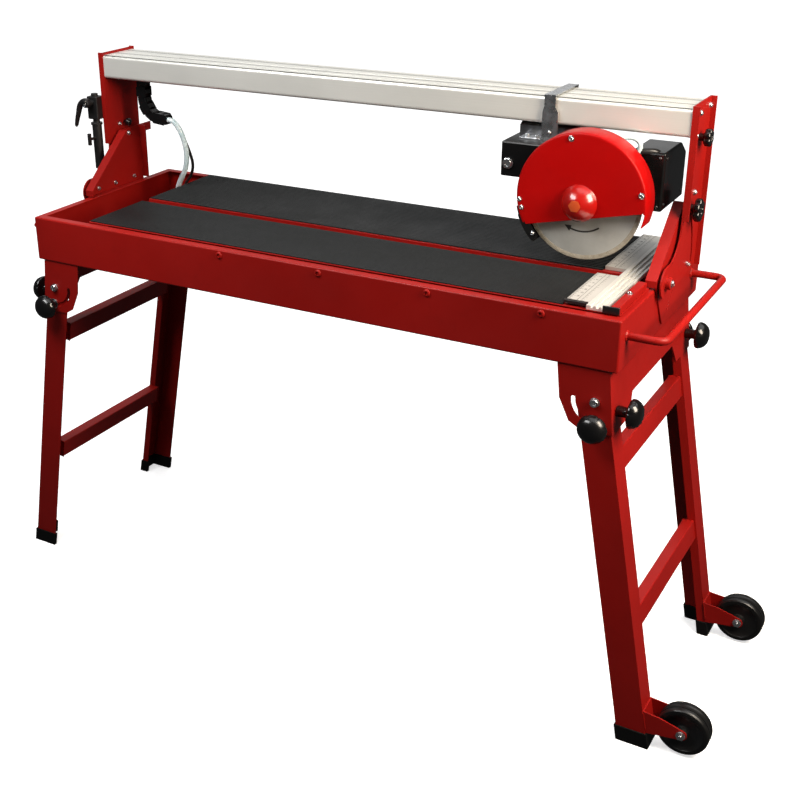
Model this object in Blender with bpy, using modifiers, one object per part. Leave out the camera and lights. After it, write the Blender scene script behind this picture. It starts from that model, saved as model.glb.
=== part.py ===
"""Wet tile saw: a water tray on folding legs, with a tilting bridge that carries the cutting head."""

import math

import bmesh
import bpy
from mathutils import Matrix, Vector

# Frame: metres, +X along the saw to its wheeled end, -Y to the operator, +Z up, floor at Z 0.
# BOX_SHIFT puts the middle of the saw's bounding box over the origin.
BOX_SHIFT = -0.0548
GAP = 0.0003

# Water tray
TRAY_X = 0.682
TRAY_Y = 0.248
TRAY_TOP = 0.8795
TRAY_BOTTOM = 0.780
TRAY_WALL = 0.002
TRAY_LIP = 0.020

# Table
PANEL_BOTTOM = 0.880
PANEL_TOP = 0.882
PANEL_X = (-0.540, 0.672)
PANEL_FRONT_Y = (-0.226, -0.036)
PANEL_BACK_Y = (-0.012, 0.234)
MAT_X = (-0.537, 0.5635)
MAT_TOP = 0.8847
SUPPORT_X = (-0.171, 0.067, 0.306, 0.534)
SUPPORT_Y = (-0.200, -0.062, 0.030, 0.195)

# Tilting bridge
PIVOT_Y = -0.036
PIVOT_Z = 0.887
BEAM_X = 0.6912
BEAM_Y = (0.042, 0.156)
BEAM_Z = (1.1415, 1.1945)
BEAM_WALL = 0.003
BEAM_SLOT_Y = (0.077, 0.119)
COLUMN_X = (0.6915, 0.6945)
COLUMN_FLANGE_X = 0.7045
COLUMN_Y = (0.040, 0.158)
COLUMN_TOP = 1.2005
STUD_RADIUS = 0.160
BRACKET_X = (0.6823, 0.6853)
BRACKET_FLANGE_X = 0.664

# Cutting head
HINGE = (0.352, 1.0655)
BLADE_CENTRE = (0.5215, 1.0201)
BLADE_RADIUS = 0.115
BLADE_Y = (-0.0299, -0.0275)
GUARD_CENTRE = (0.5221, 1.0264)
GUARD_RADIUS = 0.1267
GUARD_Y = (-0.050, 0.003)
GUARD_TURN = math.radians(12.4)

# Leg frames
LEG_PIVOT = (0.644, 0.716)
LEG_LEAN = math.radians(10.65)
LEG_WEB = 0.0227
LEG_INNER = -0.0354
LEG_SHEET = 0.0025
LEG_Y = (-0.2417, -0.1897)
CHEEK_Y = (-0.2445, -0.2420)
END_TOP = (0.6675, 0.7797)
END_LEAN = math.atan2(0.0137, 0.1227)
KNOB_ORBIT = 0.041
WHEEL = (0.863, 0.0563)
WHEEL_Y = 0.2142
WHEEL_RADIUS = 0.051

MATERIALS = {
    "red_paint": ((0.47, 0.010, 0.008, 1.0), 0.34, 0.0),
    "black_steel": ((0.015, 0.015, 0.016, 1.0), 0.38, 0.0),
    "black_plastic": ((0.012, 0.012, 0.013, 1.0), 0.30, 0.0),
    "rubber_mat": ((0.018, 0.018, 0.018, 1.0), 0.75, 0.0),
    "rubber_foot": ((0.015, 0.015, 0.015, 1.0), 0.60, 0.0),
    "wheel_rubber": ((0.014, 0.014, 0.015, 1.0), 0.45, 0.0),
    "anodised": ((0.66, 0.64, 0.58, 1.0), 0.36, 1.0),
    "scale_aluminium": ((0.72, 0.72, 0.71, 1.0), 0.32, 1.0),
    "zinc": ((0.62, 0.64, 0.66, 1.0), 0.30, 1.0),
    "blade_steel": ((0.40, 0.40, 0.39, 1.0), 0.42, 1.0),
    "clear_hose": ((0.55, 0.72, 0.78, 1.0), 0.25, 0.0),
}

for old in list(bpy.data.objects):
    bpy.data.objects.remove(old, do_unlink=True)

saw = bpy.data.collections.new("tile_saw")
bpy.context.scene.collection.children.link(saw)
root = bpy.data.objects.new("saw_frame", None)
root.location = (BOX_SHIFT, 0.0, 0.0)
saw.objects.link(root)


def make_material(name):
    color, roughness, metallic = MATERIALS[name]
    made = bpy.data.materials.new(name)
    made.use_nodes = True
    shader = made.node_tree.nodes["Principled BSDF"]
    shader.inputs["Base Color"].default_value = color
    shader.inputs["Roughness"].default_value = roughness
    shader.inputs["Metallic"].default_value = metallic
    made.diffuse_color = color
    return made


def solid(mesh, name="blank"):
    """A mesh as an object, welded and facing out."""
    work = bmesh.new()
    work.from_mesh(mesh)
    bmesh.ops.remove_doubles(work, verts=work.verts, dist=1e-6)
    bmesh.ops.recalc_face_normals(work, faces=work.faces)
    work.to_mesh(mesh)
    work.free()
    made = bpy.data.objects.new(name, mesh)
    saw.objects.link(made)
    return made


def bake(obj):
    """The object with its modifiers applied, welded and facing out."""
    bpy.context.view_layer.update()
    graph = bpy.context.evaluated_depsgraph_get()
    mesh = bpy.data.meshes.new_from_object(obj.evaluated_get(graph))
    mesh.transform(obj.matrix_world)
    bpy.data.objects.remove(obj, do_unlink=True)
    return solid(mesh)


def moved(obj, matrix):
    obj.data.transform(matrix)
    if matrix.determinant() < 0:
        obj.data.flip_normals()
    return obj


def copied(obj, matrix):
    twin = bpy.data.objects.new("blank", obj.data.copy())
    saw.objects.link(twin)
    return moved(twin, matrix)


def mirrored(obj, axis):
    """A mirrored copy: axis X swaps the ends, axis Y swaps front and back."""
    scale = (-1, 1, 1) if axis == "X" else (1, -1, 1)
    return copied(obj, Matrix.Diagonal((*scale, 1)))


def combined(base, others, operation="UNION"):
    for other in others:
        step = base.modifiers.new("joint", "BOOLEAN")
        step.operation = operation
        step.solver = "EXACT"
        step.object = other
        base = bake(base)
        bpy.data.objects.remove(other, do_unlink=True)
    return base


def cut(base, *others):
    return combined(base, others, "DIFFERENCE")


def fused(*pieces):
    return combined(pieces[0], pieces[1:])


def softened(obj, width, segments=2, angle=30.0):
    edge = obj.modifiers.new("edge", "BEVEL")
    edge.width = width
    edge.segments = segments
    edge.limit_method = "ANGLE"
    edge.angle_limit = math.radians(angle)
    edge.use_clamp_overlap = True
    return bake(obj)


def box(x, y, z):
    mesh = bpy.data.meshes.new("box")
    work = bmesh.new()
    bmesh.ops.create_cube(work, size=1.0)
    work.to_mesh(mesh)
    work.free()
    size = [high - low for low, high in (x, y, z)]
    middle = [(low + high) / 2 for low, high in (x, y, z)]
    mesh.transform(Matrix.Translation(middle) @ Matrix.Diagonal((*size, 1)))
    return solid(mesh)


PLANES = {
    "XY": Matrix(((1, 0, 0, 0), (0, 1, 0, 0), (0, 0, 1, 0), (0, 0, 0, 1))),
    "YZ": Matrix(((0, 0, 1, 0), (1, 0, 0, 0), (0, 1, 0, 0), (0, 0, 0, 1))),
    "XZ": Matrix(((1, 0, 0, 0), (0, 0, 1, 0), (0, 1, 0, 0), (0, 0, 0, 1))),
}


def plate(plane, outline, low, high, holes=()):
    """An outline with holes in it, made thick from low to high across its plane."""
    curve = bpy.data.curves.new("outline", "CURVE")
    curve.dimensions = "2D"
    curve.fill_mode = "BOTH"
    curve.extrude = (high - low) / 2
    for ring in (outline, *holes):
        spline = curve.splines.new("POLY")
        spline.points.add(len(ring) - 1)
        for point, (u, v) in zip(spline.points, ring):
            point.co = (u, v, 0, 1)
        spline.use_cyclic_u = True
    blank = bpy.data.objects.new("blank", curve)
    saw.objects.link(blank)
    made = bake(blank)
    made.data.transform(Matrix.Translation((0, 0, (low + high) / 2)))
    made.data.transform(PLANES[plane])
    return rewound(made)


def rewound(obj):
    work = bmesh.new()
    work.from_mesh(obj.data)
    bmesh.ops.recalc_face_normals(work, faces=work.faces)
    work.to_mesh(obj.data)
    work.free()
    return obj


def circle(centre, radius, count=32):
    turns = (2 * math.pi * step / count for step in range(count))
    return [(centre[0] + radius * math.cos(a), centre[1] + radius * math.sin(a)) for a in turns]


def arc(centre, radius, start, stop, count):
    """Points from start to stop, in degrees."""
    turns = (math.radians(start + (stop - start) * step / count) for step in range(count + 1))
    return [(centre[0] + radius * math.cos(a), centre[1] + radius * math.sin(a)) for a in turns]


def arc_slot(centre, radius, start, stop, width, count=16):
    """A slot along an arc, round at both ends."""
    ends = []
    for turn, side in ((stop, 0.0), (start, 180.0)):
        tip = arc(centre, radius, turn, turn, 1)[0]
        ends.append(arc(tip, width / 2, turn + side, turn + side + 180, 6)[1:-1])
    outer = arc(centre, radius + width / 2, start, stop, count)
    inner = arc(centre, radius - width / 2, stop, start, count)
    return outer + ends[0] + inner + ends[1]


def rounded(outline, radius, count=5):
    """The outline with each corner rounded."""
    made = []
    for index, corner in enumerate(outline):
        here = Vector(corner)
        back = (Vector(outline[index - 1]) - here).normalized()
        ahead = (Vector(outline[(index + 1) % len(outline)]) - here).normalized()
        half = math.acos(max(-1.0, min(1.0, back.dot(ahead)))) / 2
        reach = radius / math.tan(half)
        centre = here + (back + ahead).normalized() * radius / math.sin(half)
        first = here + back * reach - centre
        last = here + ahead * reach - centre
        sweep = first.angle_signed(last)
        for step in range(count + 1):
            turned = first.copy()
            turned.rotate(Matrix.Rotation(-sweep * step / count, 2))
            made.append(tuple(centre + turned))
    return made


def cylinder(axis, centre, radius, low, high, count=32):
    """A round bar along one axis. centre holds its other two coordinates in XYZ order."""
    plane = {"X": "YZ", "Y": "XZ", "Z": "XY"}[axis]
    return plate(plane, circle(centre, radius, count), low, high)


AXES = {
    "X": Matrix.Rotation(math.radians(90), 4, "Y"),
    "-X": Matrix.Rotation(math.radians(-90), 4, "Y"),
    "Y": Matrix.Rotation(math.radians(-90), 4, "X"),
    "-Y": Matrix.Rotation(math.radians(90), 4, "X"),
}


def turned(profile, axis, foot, steps=32):
    """A turned piece. Its profile is (radius, height) from the axis, round and back to it."""
    mesh = bpy.data.meshes.new("profile")
    points = [(radius, 0, height) for radius, height in profile]
    edges = [(index, index + 1) for index in range(len(points) - 1)]
    mesh.from_pydata(points, edges, [])
    blank = bpy.data.objects.new("blank", mesh)
    saw.objects.link(blank)
    screw = blank.modifiers.new("turn", "SCREW")
    screw.steps = steps
    screw.render_steps = steps
    screw.use_merge_vertices = True
    screw.merge_threshold = 0.00001
    made = bake(blank)
    made.data.transform(Matrix.Translation(foot) @ AXES[axis])
    return rewound(made)


def bent(points, radius, count=6):
    """A path with its inner corners bent round."""
    path = [Vector(point) for point in points]
    made = [path[0]]
    for before, here, after in zip(path, path[1:], path[2:]):
        back = (before - here).normalized()
        ahead = (after - here).normalized()
        half = back.angle(ahead) / 2
        reach = radius / math.tan(half)
        centre = here + (back + ahead).normalized() * radius / math.sin(half)
        start = here + back * reach - centre
        end = here + ahead * reach - centre
        start.normalize()
        end.normalize()
        made += [centre + radius * start.slerp(end, step / count) for step in range(count + 1)]
    made.append(path[-1])
    return made


def pipe(points, radius, sides=4):
    curve = bpy.data.curves.new("pipe", "CURVE")
    curve.dimensions = "3D"
    curve.bevel_depth = radius
    curve.bevel_resolution = sides
    curve.use_fill_caps = True
    spline = curve.splines.new("POLY")
    spline.points.add(len(points) - 1)
    for point, place in zip(spline.points, points):
        point.co = (*place, 1)
    blank = bpy.data.objects.new("blank", curve)
    saw.objects.link(blank)
    return bake(blank)


def smooth_path(knots, spacing):
    """Evenly spaced points on a smooth curve through the knots."""
    knots = [Vector(knot) for knot in knots]
    ends = [2 * knots[0] - knots[1], *knots, 2 * knots[-1] - knots[-2]]
    fine = []
    for p0, p1, p2, p3 in zip(ends, ends[1:], ends[2:], ends[3:]):
        for step in range(20):
            t = step / 20
            straight = 2 * p1 + (p2 - p0) * t
            curl = (2 * p0 - 5 * p1 + 4 * p2 - p3) * t * t + (3 * p1 - p0 - 3 * p2 + p3) * t**3
            fine.append((straight + curl) / 2)
    fine.append(knots[-1])
    path = [fine[0]]
    for point in fine[1:]:
        if (point - path[-1]).length >= spacing:
            path.append(point)
    path[-1] = fine[-1]
    return path


def finish(obj, name, material, origin=None, smooth=False):
    """Names a piece, colours it and sets its origin, on the joint axis of a moving piece."""
    corners = [Vector(corner) for corner in obj.bound_box]
    origin = Vector(origin) if origin else (corners[0] + corners[6]) / 2
    obj.data.transform(Matrix.Translation(-origin))
    obj.location = origin
    obj.parent = root
    obj.name = name
    obj.data.name = name
    obj.data.materials.clear()
    if material not in bpy.data.materials:
        make_material(material)
    obj.data.materials.append(bpy.data.materials[material])
    for face in obj.data.polygons:
        face.use_smooth = False
        face.material_index = 0
    if smooth:
        obj.data.shade_smooth()
        obj.data.set_sharp_from_angle(angle=math.radians(32))
    return obj


# ---- Water tray: folded sheet with a lip turned in all the way round ----
inside = TRAY_X - TRAY_WALL, TRAY_Y - TRAY_WALL
opening = TRAY_X - TRAY_LIP, TRAY_Y - TRAY_LIP
tray = box((-TRAY_X, TRAY_X), (-TRAY_Y, TRAY_Y), (TRAY_BOTTOM, TRAY_TOP))
tray = softened(tray, 0.003, 2)
tray = cut(
    tray,
    box(
        (-opening[0], opening[0]),
        (-opening[1], opening[1]),
        (TRAY_TOP - 0.01, TRAY_TOP + 0.01),
    ),
    box(
        (-inside[0], inside[0]),
        (-inside[1], inside[1]),
        (TRAY_BOTTOM + TRAY_WALL, TRAY_TOP - TRAY_WALL),
    ),
)
finish(tray, "tray", "red_paint")

# ---- Table: a frame of bars inside the tray, two sheet panels and their rubber mats ----
bars = [
    box((x - 0.010, x + 0.010), (-inside[1] + GAP, inside[1] - GAP), (0.846, 0.860))
    for x in SUPPORT_X
]
bars += [box((-0.500, 0.600), (y - 0.008, y + 0.008), (0.859, PANEL_BOTTOM - GAP)) for y in SUPPORT_Y]
finish(fused(*bars), "table_frame", "red_paint")

for name, (front, back), edge in (
    ("panel_front", PANEL_FRONT_Y, 1),
    ("panel_back", PANEL_BACK_Y, -1),
):
    slot = back if edge > 0 else front
    fold_y = sorted((slot, slot - edge * 0.002))
    sheet = box(PANEL_X, (front, back), (PANEL_BOTTOM, PANEL_TOP))
    fold = box((PANEL_X[0], TRAY_X - TRAY_LIP - 0.002), fold_y, (0.870, PANEL_TOP - 0.0005))
    finish(fused(sheet, fold), name, "red_paint")

for name, span in (("mat_front", (-0.2225, -0.0400)), ("mat_back", (-0.0085, 0.2300))):
    mat = box(MAT_X, span, (PANEL_TOP + GAP, MAT_TOP))
    finish(softened(mat, 0.0006, 1), name, "rubber_mat")

# ---- Fence at the right end: two scale bars, a grooved rail and a red tube ----
for name, span in (("scale_front", (-0.2130, -0.0465)), ("scale_back", (-0.0014, 0.2320))):
    bar = box((0.5655, 0.6082), span, (PANEL_TOP + GAP, 0.8900))
    finish(softened(bar, 0.0005, 1), name, "scale_aluminium")

groove = [(0.6085, 0.8823), (0.6455, 0.8823), (0.6455, 0.8905), (0.6415, 0.8905)]
for left in (0.6325, 0.6225, 0.6125):
    groove += [
        (left + 0.0085, 0.8865),
        (left + 0.0045, 0.8865),
        (left + 0.0040, 0.8905),
        (left, 0.8905),
    ]
groove += [(0.6085, 0.8905)]
finish(plate("XZ", groove, -0.2250, 0.2320), "fence_rail", "anodised")
tube = cut(
    softened(box((0.6535, 0.6705), (-0.226, -0.075), (0.8823, 0.8965)), 0.0015),
    box((0.6550, 0.6690), (-0.230, -0.070), (0.8838, 0.8950)),
)
finish(tube, "fence_tube", "red_paint")
cap = box((0.5650, 0.6480), (-0.2215, -0.2133), (0.8862, 0.8925))
cap = cut(cap, box((0.6082, 0.6490), (-0.2260, -0.2130), (0.8850, 0.8950)))
finish(softened(cap, 0.0006, 1), "fence_cap", "black_plastic")

# ---- Pump on the floor of the tray, under the back panel ----
pump = softened(box((-0.500, -0.430), (0.110, 0.185), (0.7823, 0.8320)), 0.006)
spout = cylinder("X", (0.130, 0.820), 0.0055, -0.512, -0.490)
finish(fused(pump, spout), "pump", "black_plastic")

# ---- Leg mounts: folded sheet under each end of the tray ----
slope = math.tan(END_LEAN)
mount_bottom = 0.657
end_foot = END_TOP[0] + (END_TOP[1] - mount_bottom) * slope
cheek_outline = rounded(
    [
        (0.569, END_TOP[1]),
        (0.5765, 0.712),
        (0.597, 0.669),
        (0.618, mount_bottom),
        (end_foot, mount_bottom),
        END_TOP,
    ],
    0.0008,
    2,
)
rest_turn = -90 + math.degrees(LEG_LEAN)
knob_slot = arc_slot(LEG_PIVOT, KNOB_ORBIT, rest_turn - 101.5, rest_turn + 1.0, 0.0088)
cheek = plate("XZ", cheek_outline, *CHEEK_Y, [knob_slot])
drop = (END_TOP[1] - mount_bottom) / math.cos(END_LEAN)
half = -CHEEK_Y[0]
end_outline = [
    (-half, 0),
    (half, 0),
    (half, -drop),
    (0.150, -drop),
    (0.125, -0.081),
    (-0.125, -0.081),
    (-0.150, -drop),
    (-half, -drop),
]
screw_drop = (END_TOP[1] - 0.696) / math.cos(END_LEAN)
screw_holes = [circle((side * 0.217, -screw_drop), 0.0048, 24) for side in (-1, 1)]
end_plate = plate("YZ", end_outline, -LEG_SHEET, 0.0, screw_holes)
tip_out = Matrix.Translation((END_TOP[0], 0, END_TOP[1])) @ Matrix.Rotation(-END_LEAN, 4, "Y")
end_plate = moved(end_plate, tip_out)
shelf = box((0.600, 0.6645), (-0.2435, 0.2435), (0.7772, END_TOP[1]))
bolt = fused(
    cylinder("Y", LEG_PIVOT, 0.0040, -0.2490, -0.2340, 24),
    cylinder("Y", LEG_PIVOT, 0.0075, -0.2490, -0.2440, 6),
    cylinder("Y", LEG_PIVOT, 0.0075, -0.2388, -0.2330, 6),
)
cheek = fused(cheek, bolt)
rear_cheek = mirrored(cheek, "Y")
mount = fused(end_plate, cheek, rear_cheek, shelf)
finish(mirrored(mount, "X"), "leg_mount_left", "red_paint")
finish(mount, "leg_mount_right", "red_paint")


# ---- Knobs: round-headed clamp screws on the legs ----
KNOB = [
    (0.0, -0.0024),
    (0.004, -0.0024),
    (0.004, 0.0004),
    (0.0095, 0.0004),
    (0.0095, 0.0200),
    (0.0250, 0.0235),
    (0.0280, 0.0280),
    (0.0265, 0.0360),
    (0.0180, 0.0440),
    (0.0, 0.0475),
]
END_KNOB = [(radius, height - 0.0018 if height < 0 else height + 0.0012) for radius, height in KNOB]
knob_turn = math.radians(rest_turn)
knob_x = LEG_PIVOT[0] + KNOB_ORBIT * math.cos(knob_turn)
knob_z = LEG_PIVOT[1] + KNOB_ORBIT * math.sin(knob_turn)
screw_x = END_TOP[0] + (END_TOP[1] - 0.696) * slope
for end, side_x in (("right", 1), ("left", -1)):
    for side, side_y in (("front", -1), ("back", 1)):
        foot = (side_x * knob_x, side_y * -CHEEK_Y[0], knob_z)
        knob = turned(KNOB, "Y" if side_y > 0 else "-Y", foot, 20)
        finish(knob, f"knob_swing_{end}_{side}", "black_plastic", foot, True)
        foot = (side_x * screw_x, side_y * 0.217, 0.696)
        knob = turned(END_KNOB, "X" if side_x > 0 else "-X", foot, 20)
        finish(knob, f"knob_end_{end}_{side}", "black_plastic", foot, True)


# ---- Leg frames: two folded legs and two welded rails, built upright about the fold axis ----
def leg_outline(grow):
    near, far = LEG_Y[0], LEG_Y[1]
    return [
        (LEG_WEB + grow, near - grow),
        (LEG_INNER - grow, near - grow),
        (LEG_INNER - grow, near + LEG_SHEET + grow),
        (LEG_WEB - LEG_SHEET - grow, near + LEG_SHEET + grow),
        (LEG_WEB - LEG_SHEET - grow, far - LEG_SHEET - grow),
        (LEG_WEB - 0.0175 - grow, far - LEG_SHEET - grow),
        (LEG_WEB - 0.0175 - grow, far + grow),
        (LEG_WEB + grow, far + grow),
    ]


lean = (
    Matrix.Translation((LEG_PIVOT[0], 0, LEG_PIVOT[1])) @ Matrix.Rotation(-LEG_LEAN, 4, "Y")
)
leg = plate("XY", leg_outline(0), -0.745, LEG_WEB)
leg = cut(
    leg,
    box((0.0, 0.03), (LEG_Y[0] + 0.0030, -0.18), (-0.004, 0.03)),
    plate("XZ", [(0.030, -0.0060), (0.030, 0.030), (0.0030, 0.030)], -0.25, -0.235),
    plate("XZ", [(0.0015, 0.030), (-0.04, 0.030), (-0.04, -0.0005)], -0.25, -0.235),
    cylinder("Y", (0, 0), 0.0045, -0.25, -0.23, 24),
)
leg = moved(leg, lean)
leg = cut(leg, box((0.5, 1.0), (-0.3, 0.0), (-0.1, 0.006)))
rails = [
    moved(box((-0.006, 0.019), (-0.1905, 0.1905), span), lean)
    for span in ((-0.157, -0.112), (-0.4904, -0.4467))
]
rails = [softened(rail, 0.002) for rail in rails]
frame = fused(leg, mirrored(leg, "Y"), *rails)
fold_axis = (LEG_PIVOT[0], 0, LEG_PIVOT[1])
finish(mirrored(frame, "X"), "leg_frame_left", "red_paint", (-LEG_PIVOT[0], 0, LEG_PIVOT[1]))


def web_x(z, out=0.0):
    """X of the outer face of a right leg's web, plus a distance out."""
    return LEG_PIVOT[0] + (LEG_WEB + out) / math.cos(LEG_LEAN) + (LEG_PIVOT[1] - z) * math.tan(LEG_LEAN)


fork_top, fork_foot = 0.083, 0.0355
cheek_fork = [(web_x(fork_foot, 0.001), fork_foot), (0.8600, 0.0452)]
cheek_fork += arc(WHEEL, 0.0115, -80, 66, 8)
cheek_fork += [(0.820, 0.0800), (web_x(fork_top, 0.001), fork_top)]
fork = [frame]
for side in (-1, 1):
    middle = side * WHEEL_Y
    for edge in (-0.026, 0.0235):
        fork.append(plate("XZ", cheek_fork, middle + edge, middle + edge + 0.0025))
    back = [
        (web_x(fork_foot, -0.0005), fork_foot),
        (web_x(fork_foot, LEG_SHEET), fork_foot),
        (web_x(fork_top, LEG_SHEET), fork_top),
        (web_x(fork_top, -0.0005), fork_top),
    ]
    fork.append(plate("XZ", back, middle - 0.026, middle + 0.026))
    fork.append(cylinder("Y", WHEEL, 0.0040, middle - 0.0300, middle + 0.0300, 24))
    fork.append(cylinder("Y", WHEEL, 0.0075, middle - 0.0300, middle - 0.0255, 6))
    fork.append(cylinder("Y", WHEEL, 0.0075, middle + 0.0255, middle + 0.0300, 6))
finish(fused(*fork), "leg_frame_right", "red_paint", fold_axis)

tyre = [
    (0.0043, -0.0232),
    (0.0120, -0.0232),
    (0.0120, -0.0120),
    (0.0360, -0.0120),
    (0.0400, -0.0180),
    (0.0475, -0.0180),
    (0.0510, -0.0130),
]
tyre += [(radius, -height) for radius, height in reversed(tyre)]
tyre.append(tyre[0])
for side, y in (("front", -WHEEL_Y), ("back", WHEEL_Y)):
    foot = (WHEEL[0], y, WHEEL[1])
    wheel = turned(tyre, "Y", foot, 40)
    finish(wheel, f"wheel_{side}", "wheel_rubber", foot, True)

foot = moved(plate("XY", leg_outline(0.003), -0.78, -0.66), lean)
foot = cut(
    foot,
    box((0.5, 1.0), (-0.3, 0.0), (-0.2, 0.0)),
    box((0.5, 1.0), (-0.3, 0.0), (0.034, 0.2)),
)
leg_space = moved(plate("XY", leg_outline(GAP), -0.78, -0.60), lean)
leg_space = cut(leg_space, box((0.5, 1.0), (-0.3, 0.0), (-0.2, 0.0057)))
foot = cut(foot, leg_space)
for end, flip_x in (("left", True), ("right", False)):
    for side, flip_y in (("back", True), ("front", False)):
        piece = copied(foot, Matrix.Diagonal((-1 if flip_x else 1, -1 if flip_y else 1, 1, 1)))
        finish(piece, f"foot_{end}_{side}", "rubber_foot")
bpy.data.objects.remove(foot, do_unlink=True)

# ---- Pull handle: a bent tube on the right end ----
handle_path = bent(
    [(0.6823, -0.212, 0.841), (0.751, -0.212, 0.841), (0.751, 0.178, 0.841), (0.6857, 0.178, 0.841)],
    0.018,
)
finish(pipe(handle_path, 0.0075, 4), "pull_handle", "red_paint", None, True)

# ---- Bridge brackets: gusset plates bolted outside the tray ends, with the tilt pivot ----
pivot = (PIVOT_Y, PIVOT_Z)
bracket_outline = [
    (-0.066, 0.897),
    (0.072, 1.013),
    (0.190, 1.013),
    (0.190, 0.993),
    (0.148, 0.993),
    (0.148, 0.868),
    (0.226, 0.850),
    (0.226, 0.818),
    (0.195, 0.795),
    (-0.004, 0.793),
    (-0.066, 0.885),
]
bracket_holes = [circle((0.103, 1.0), 0.004, 20), arc_slot(pivot, 0.092, -52, -6, 0.004, 14)]
bracket = plate("YZ", bracket_outline, *BRACKET_X, bracket_holes)
rib = [(-0.066, 0.897), (0.072, 1.013), (0.0765, 1.013), (-0.0630, 0.8955), (-0.0630, 0.8835), (-0.066, 0.8835)]
slant = plate("YZ", rib, BRACKET_FLANGE_X, BRACKET_X[1] - 0.0005)
spine = box((BRACKET_FLANGE_X, BRACKET_X[1] - 0.0005), (0.1455, 0.1480), (0.8835, 1.0125))
bracket = fused(
    bracket,
    slant,
    spine,
    cylinder("X", pivot, 0.0140, BRACKET_X[1] - 0.001, COLUMN_X[0] - GAP),
    cylinder("X", pivot, 0.0060, BRACKET_X[1] - 0.001, 0.7015),
    cylinder("X", pivot, 0.0105, COLUMN_X[1] + GAP, 0.7015, 6),
)
finish(mirrored(bracket, "X"), "bracket_left", "red_paint")
finish(bracket, "bracket_right", "red_paint")

# ---- Columns: channels with a swept foot that turns on the tilt pivot ----
stud = arc(pivot, STUD_RADIUS, 45, 45, 1)[0]
column_outline = [(COLUMN_Y[0], COLUMN_TOP), (COLUMN_Y[0], 0.985)]
column_outline += [(0.0385, 0.966), (0.0335, 0.950), (0.0240, 0.936), (0.0100, 0.925), (-0.0080, 0.917)]
column_outline += arc(pivot, 0.030, 82, 262, 14)
column_outline += [(0.100, 0.862), (COLUMN_Y[1], 0.868), (COLUMN_Y[1], COLUMN_TOP)]
lock = (0.094, 1.1345)
column_holes = [
    circle(pivot, 0.0063, 32),
    arc_slot(pivot, STUD_RADIUS, -1.5, 46.5, 0.009, 20),
    circle(lock, 0.0045, 20),
]
column = plate("YZ", column_outline, *COLUMN_X, column_holes)
flange_x = (COLUMN_X[0] + 0.0005, COLUMN_FLANGE_X)
column = fused(
    column,
    box(flange_x, (COLUMN_Y[0] + 0.00001, COLUMN_Y[0] + 0.003), (0.985, COLUMN_TOP - 0.0002)),
    box(flange_x, (COLUMN_Y[1] - 0.003, COLUMN_Y[1] - 0.00001), (0.8685, COLUMN_TOP - 0.0002)),
)
finish(mirrored(column, "X"), "column_left", "red_paint", (-COLUMN_X[0], PIVOT_Y, PIVOT_Z))
finish(column, "column_right", "red_paint", (COLUMN_X[0], PIVOT_Y, PIVOT_Z))


def star_outline(centre, radius, lobes=6, count=42):
    turns = (2 * math.pi * step / count for step in range(count))
    return [
        (
            centre[0] + radius * (0.88 + 0.12 * math.cos(lobes * a)) * math.cos(a),
            centre[1] + radius * (0.88 + 0.12 * math.cos(lobes * a)) * math.sin(a),
        )
        for a in turns
    ]


def star_knob(centre, radius, tip, face, reach):
    """A lobed knob on a stud along X. Its neck starts at face and its head ends at reach."""
    head = softened(plate("YZ", star_outline(centre, radius), reach - 0.015, reach), 0.0022, 1)
    neck = cylinder("X", centre, radius * 0.46, face, reach - 0.010, 16)
    return fused(head, neck, cylinder("X", centre, 0.0040, tip, face + 0.001, 12))


for name, centre, radius, tip in (
    ("tilt_knob", stud, 0.0225, BRACKET_X[1] + 0.0005),
    ("lock_knob", lock, 0.0165, 0.6740),
):
    knob = star_knob(centre, radius, tip, COLUMN_X[1] + 0.0004, 0.7180)
    place = (COLUMN_X[1], *centre)
    if name == "tilt_knob":
        twin = mirrored(knob, "X")
        finish(twin, "tilt_knob_left", "black_plastic", (-COLUMN_X[1], *centre), True)
        name = "tilt_knob_right"
    finish(knob, name, "black_plastic", place, True)

# ---- Beam: an extruded rail, open along its underside ----
corners = [(BEAM_Y[0], BEAM_Z[0]), (BEAM_Y[0], BEAM_Z[1]), (BEAM_Y[1], BEAM_Z[1]), (BEAM_Y[1], BEAM_Z[0])]
skin = rounded(corners, 0.007, 5)
inner_low = BEAM_Y[0] + BEAM_WALL, BEAM_Z[0] + BEAM_WALL
inner_high = BEAM_Y[1] - BEAM_WALL, BEAM_Z[1] - BEAM_WALL
inner = [inner_low, (inner_low[0], inner_high[1]), inner_high, (inner_high[0], inner_low[1])]
rings = rounded(inner, 0.004, 3)
beam = plate("YZ", skin, -BEAM_X, BEAM_X, [rings])
cutters = [box((-0.75, 0.75), BEAM_SLOT_Y, (BEAM_Z[0] - 0.01, BEAM_Z[0] + 0.01))]
for y in (0.066, 0.099, 0.132):
    cutters.append(box((-0.75, 0.75), (y - 0.0012, y + 0.0012), (BEAM_Z[1] - 0.0012, BEAM_Z[1] + 0.01)))
beam = cut(beam, *cutters)
finish(beam, "beam", "anodised", None, True)

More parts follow.
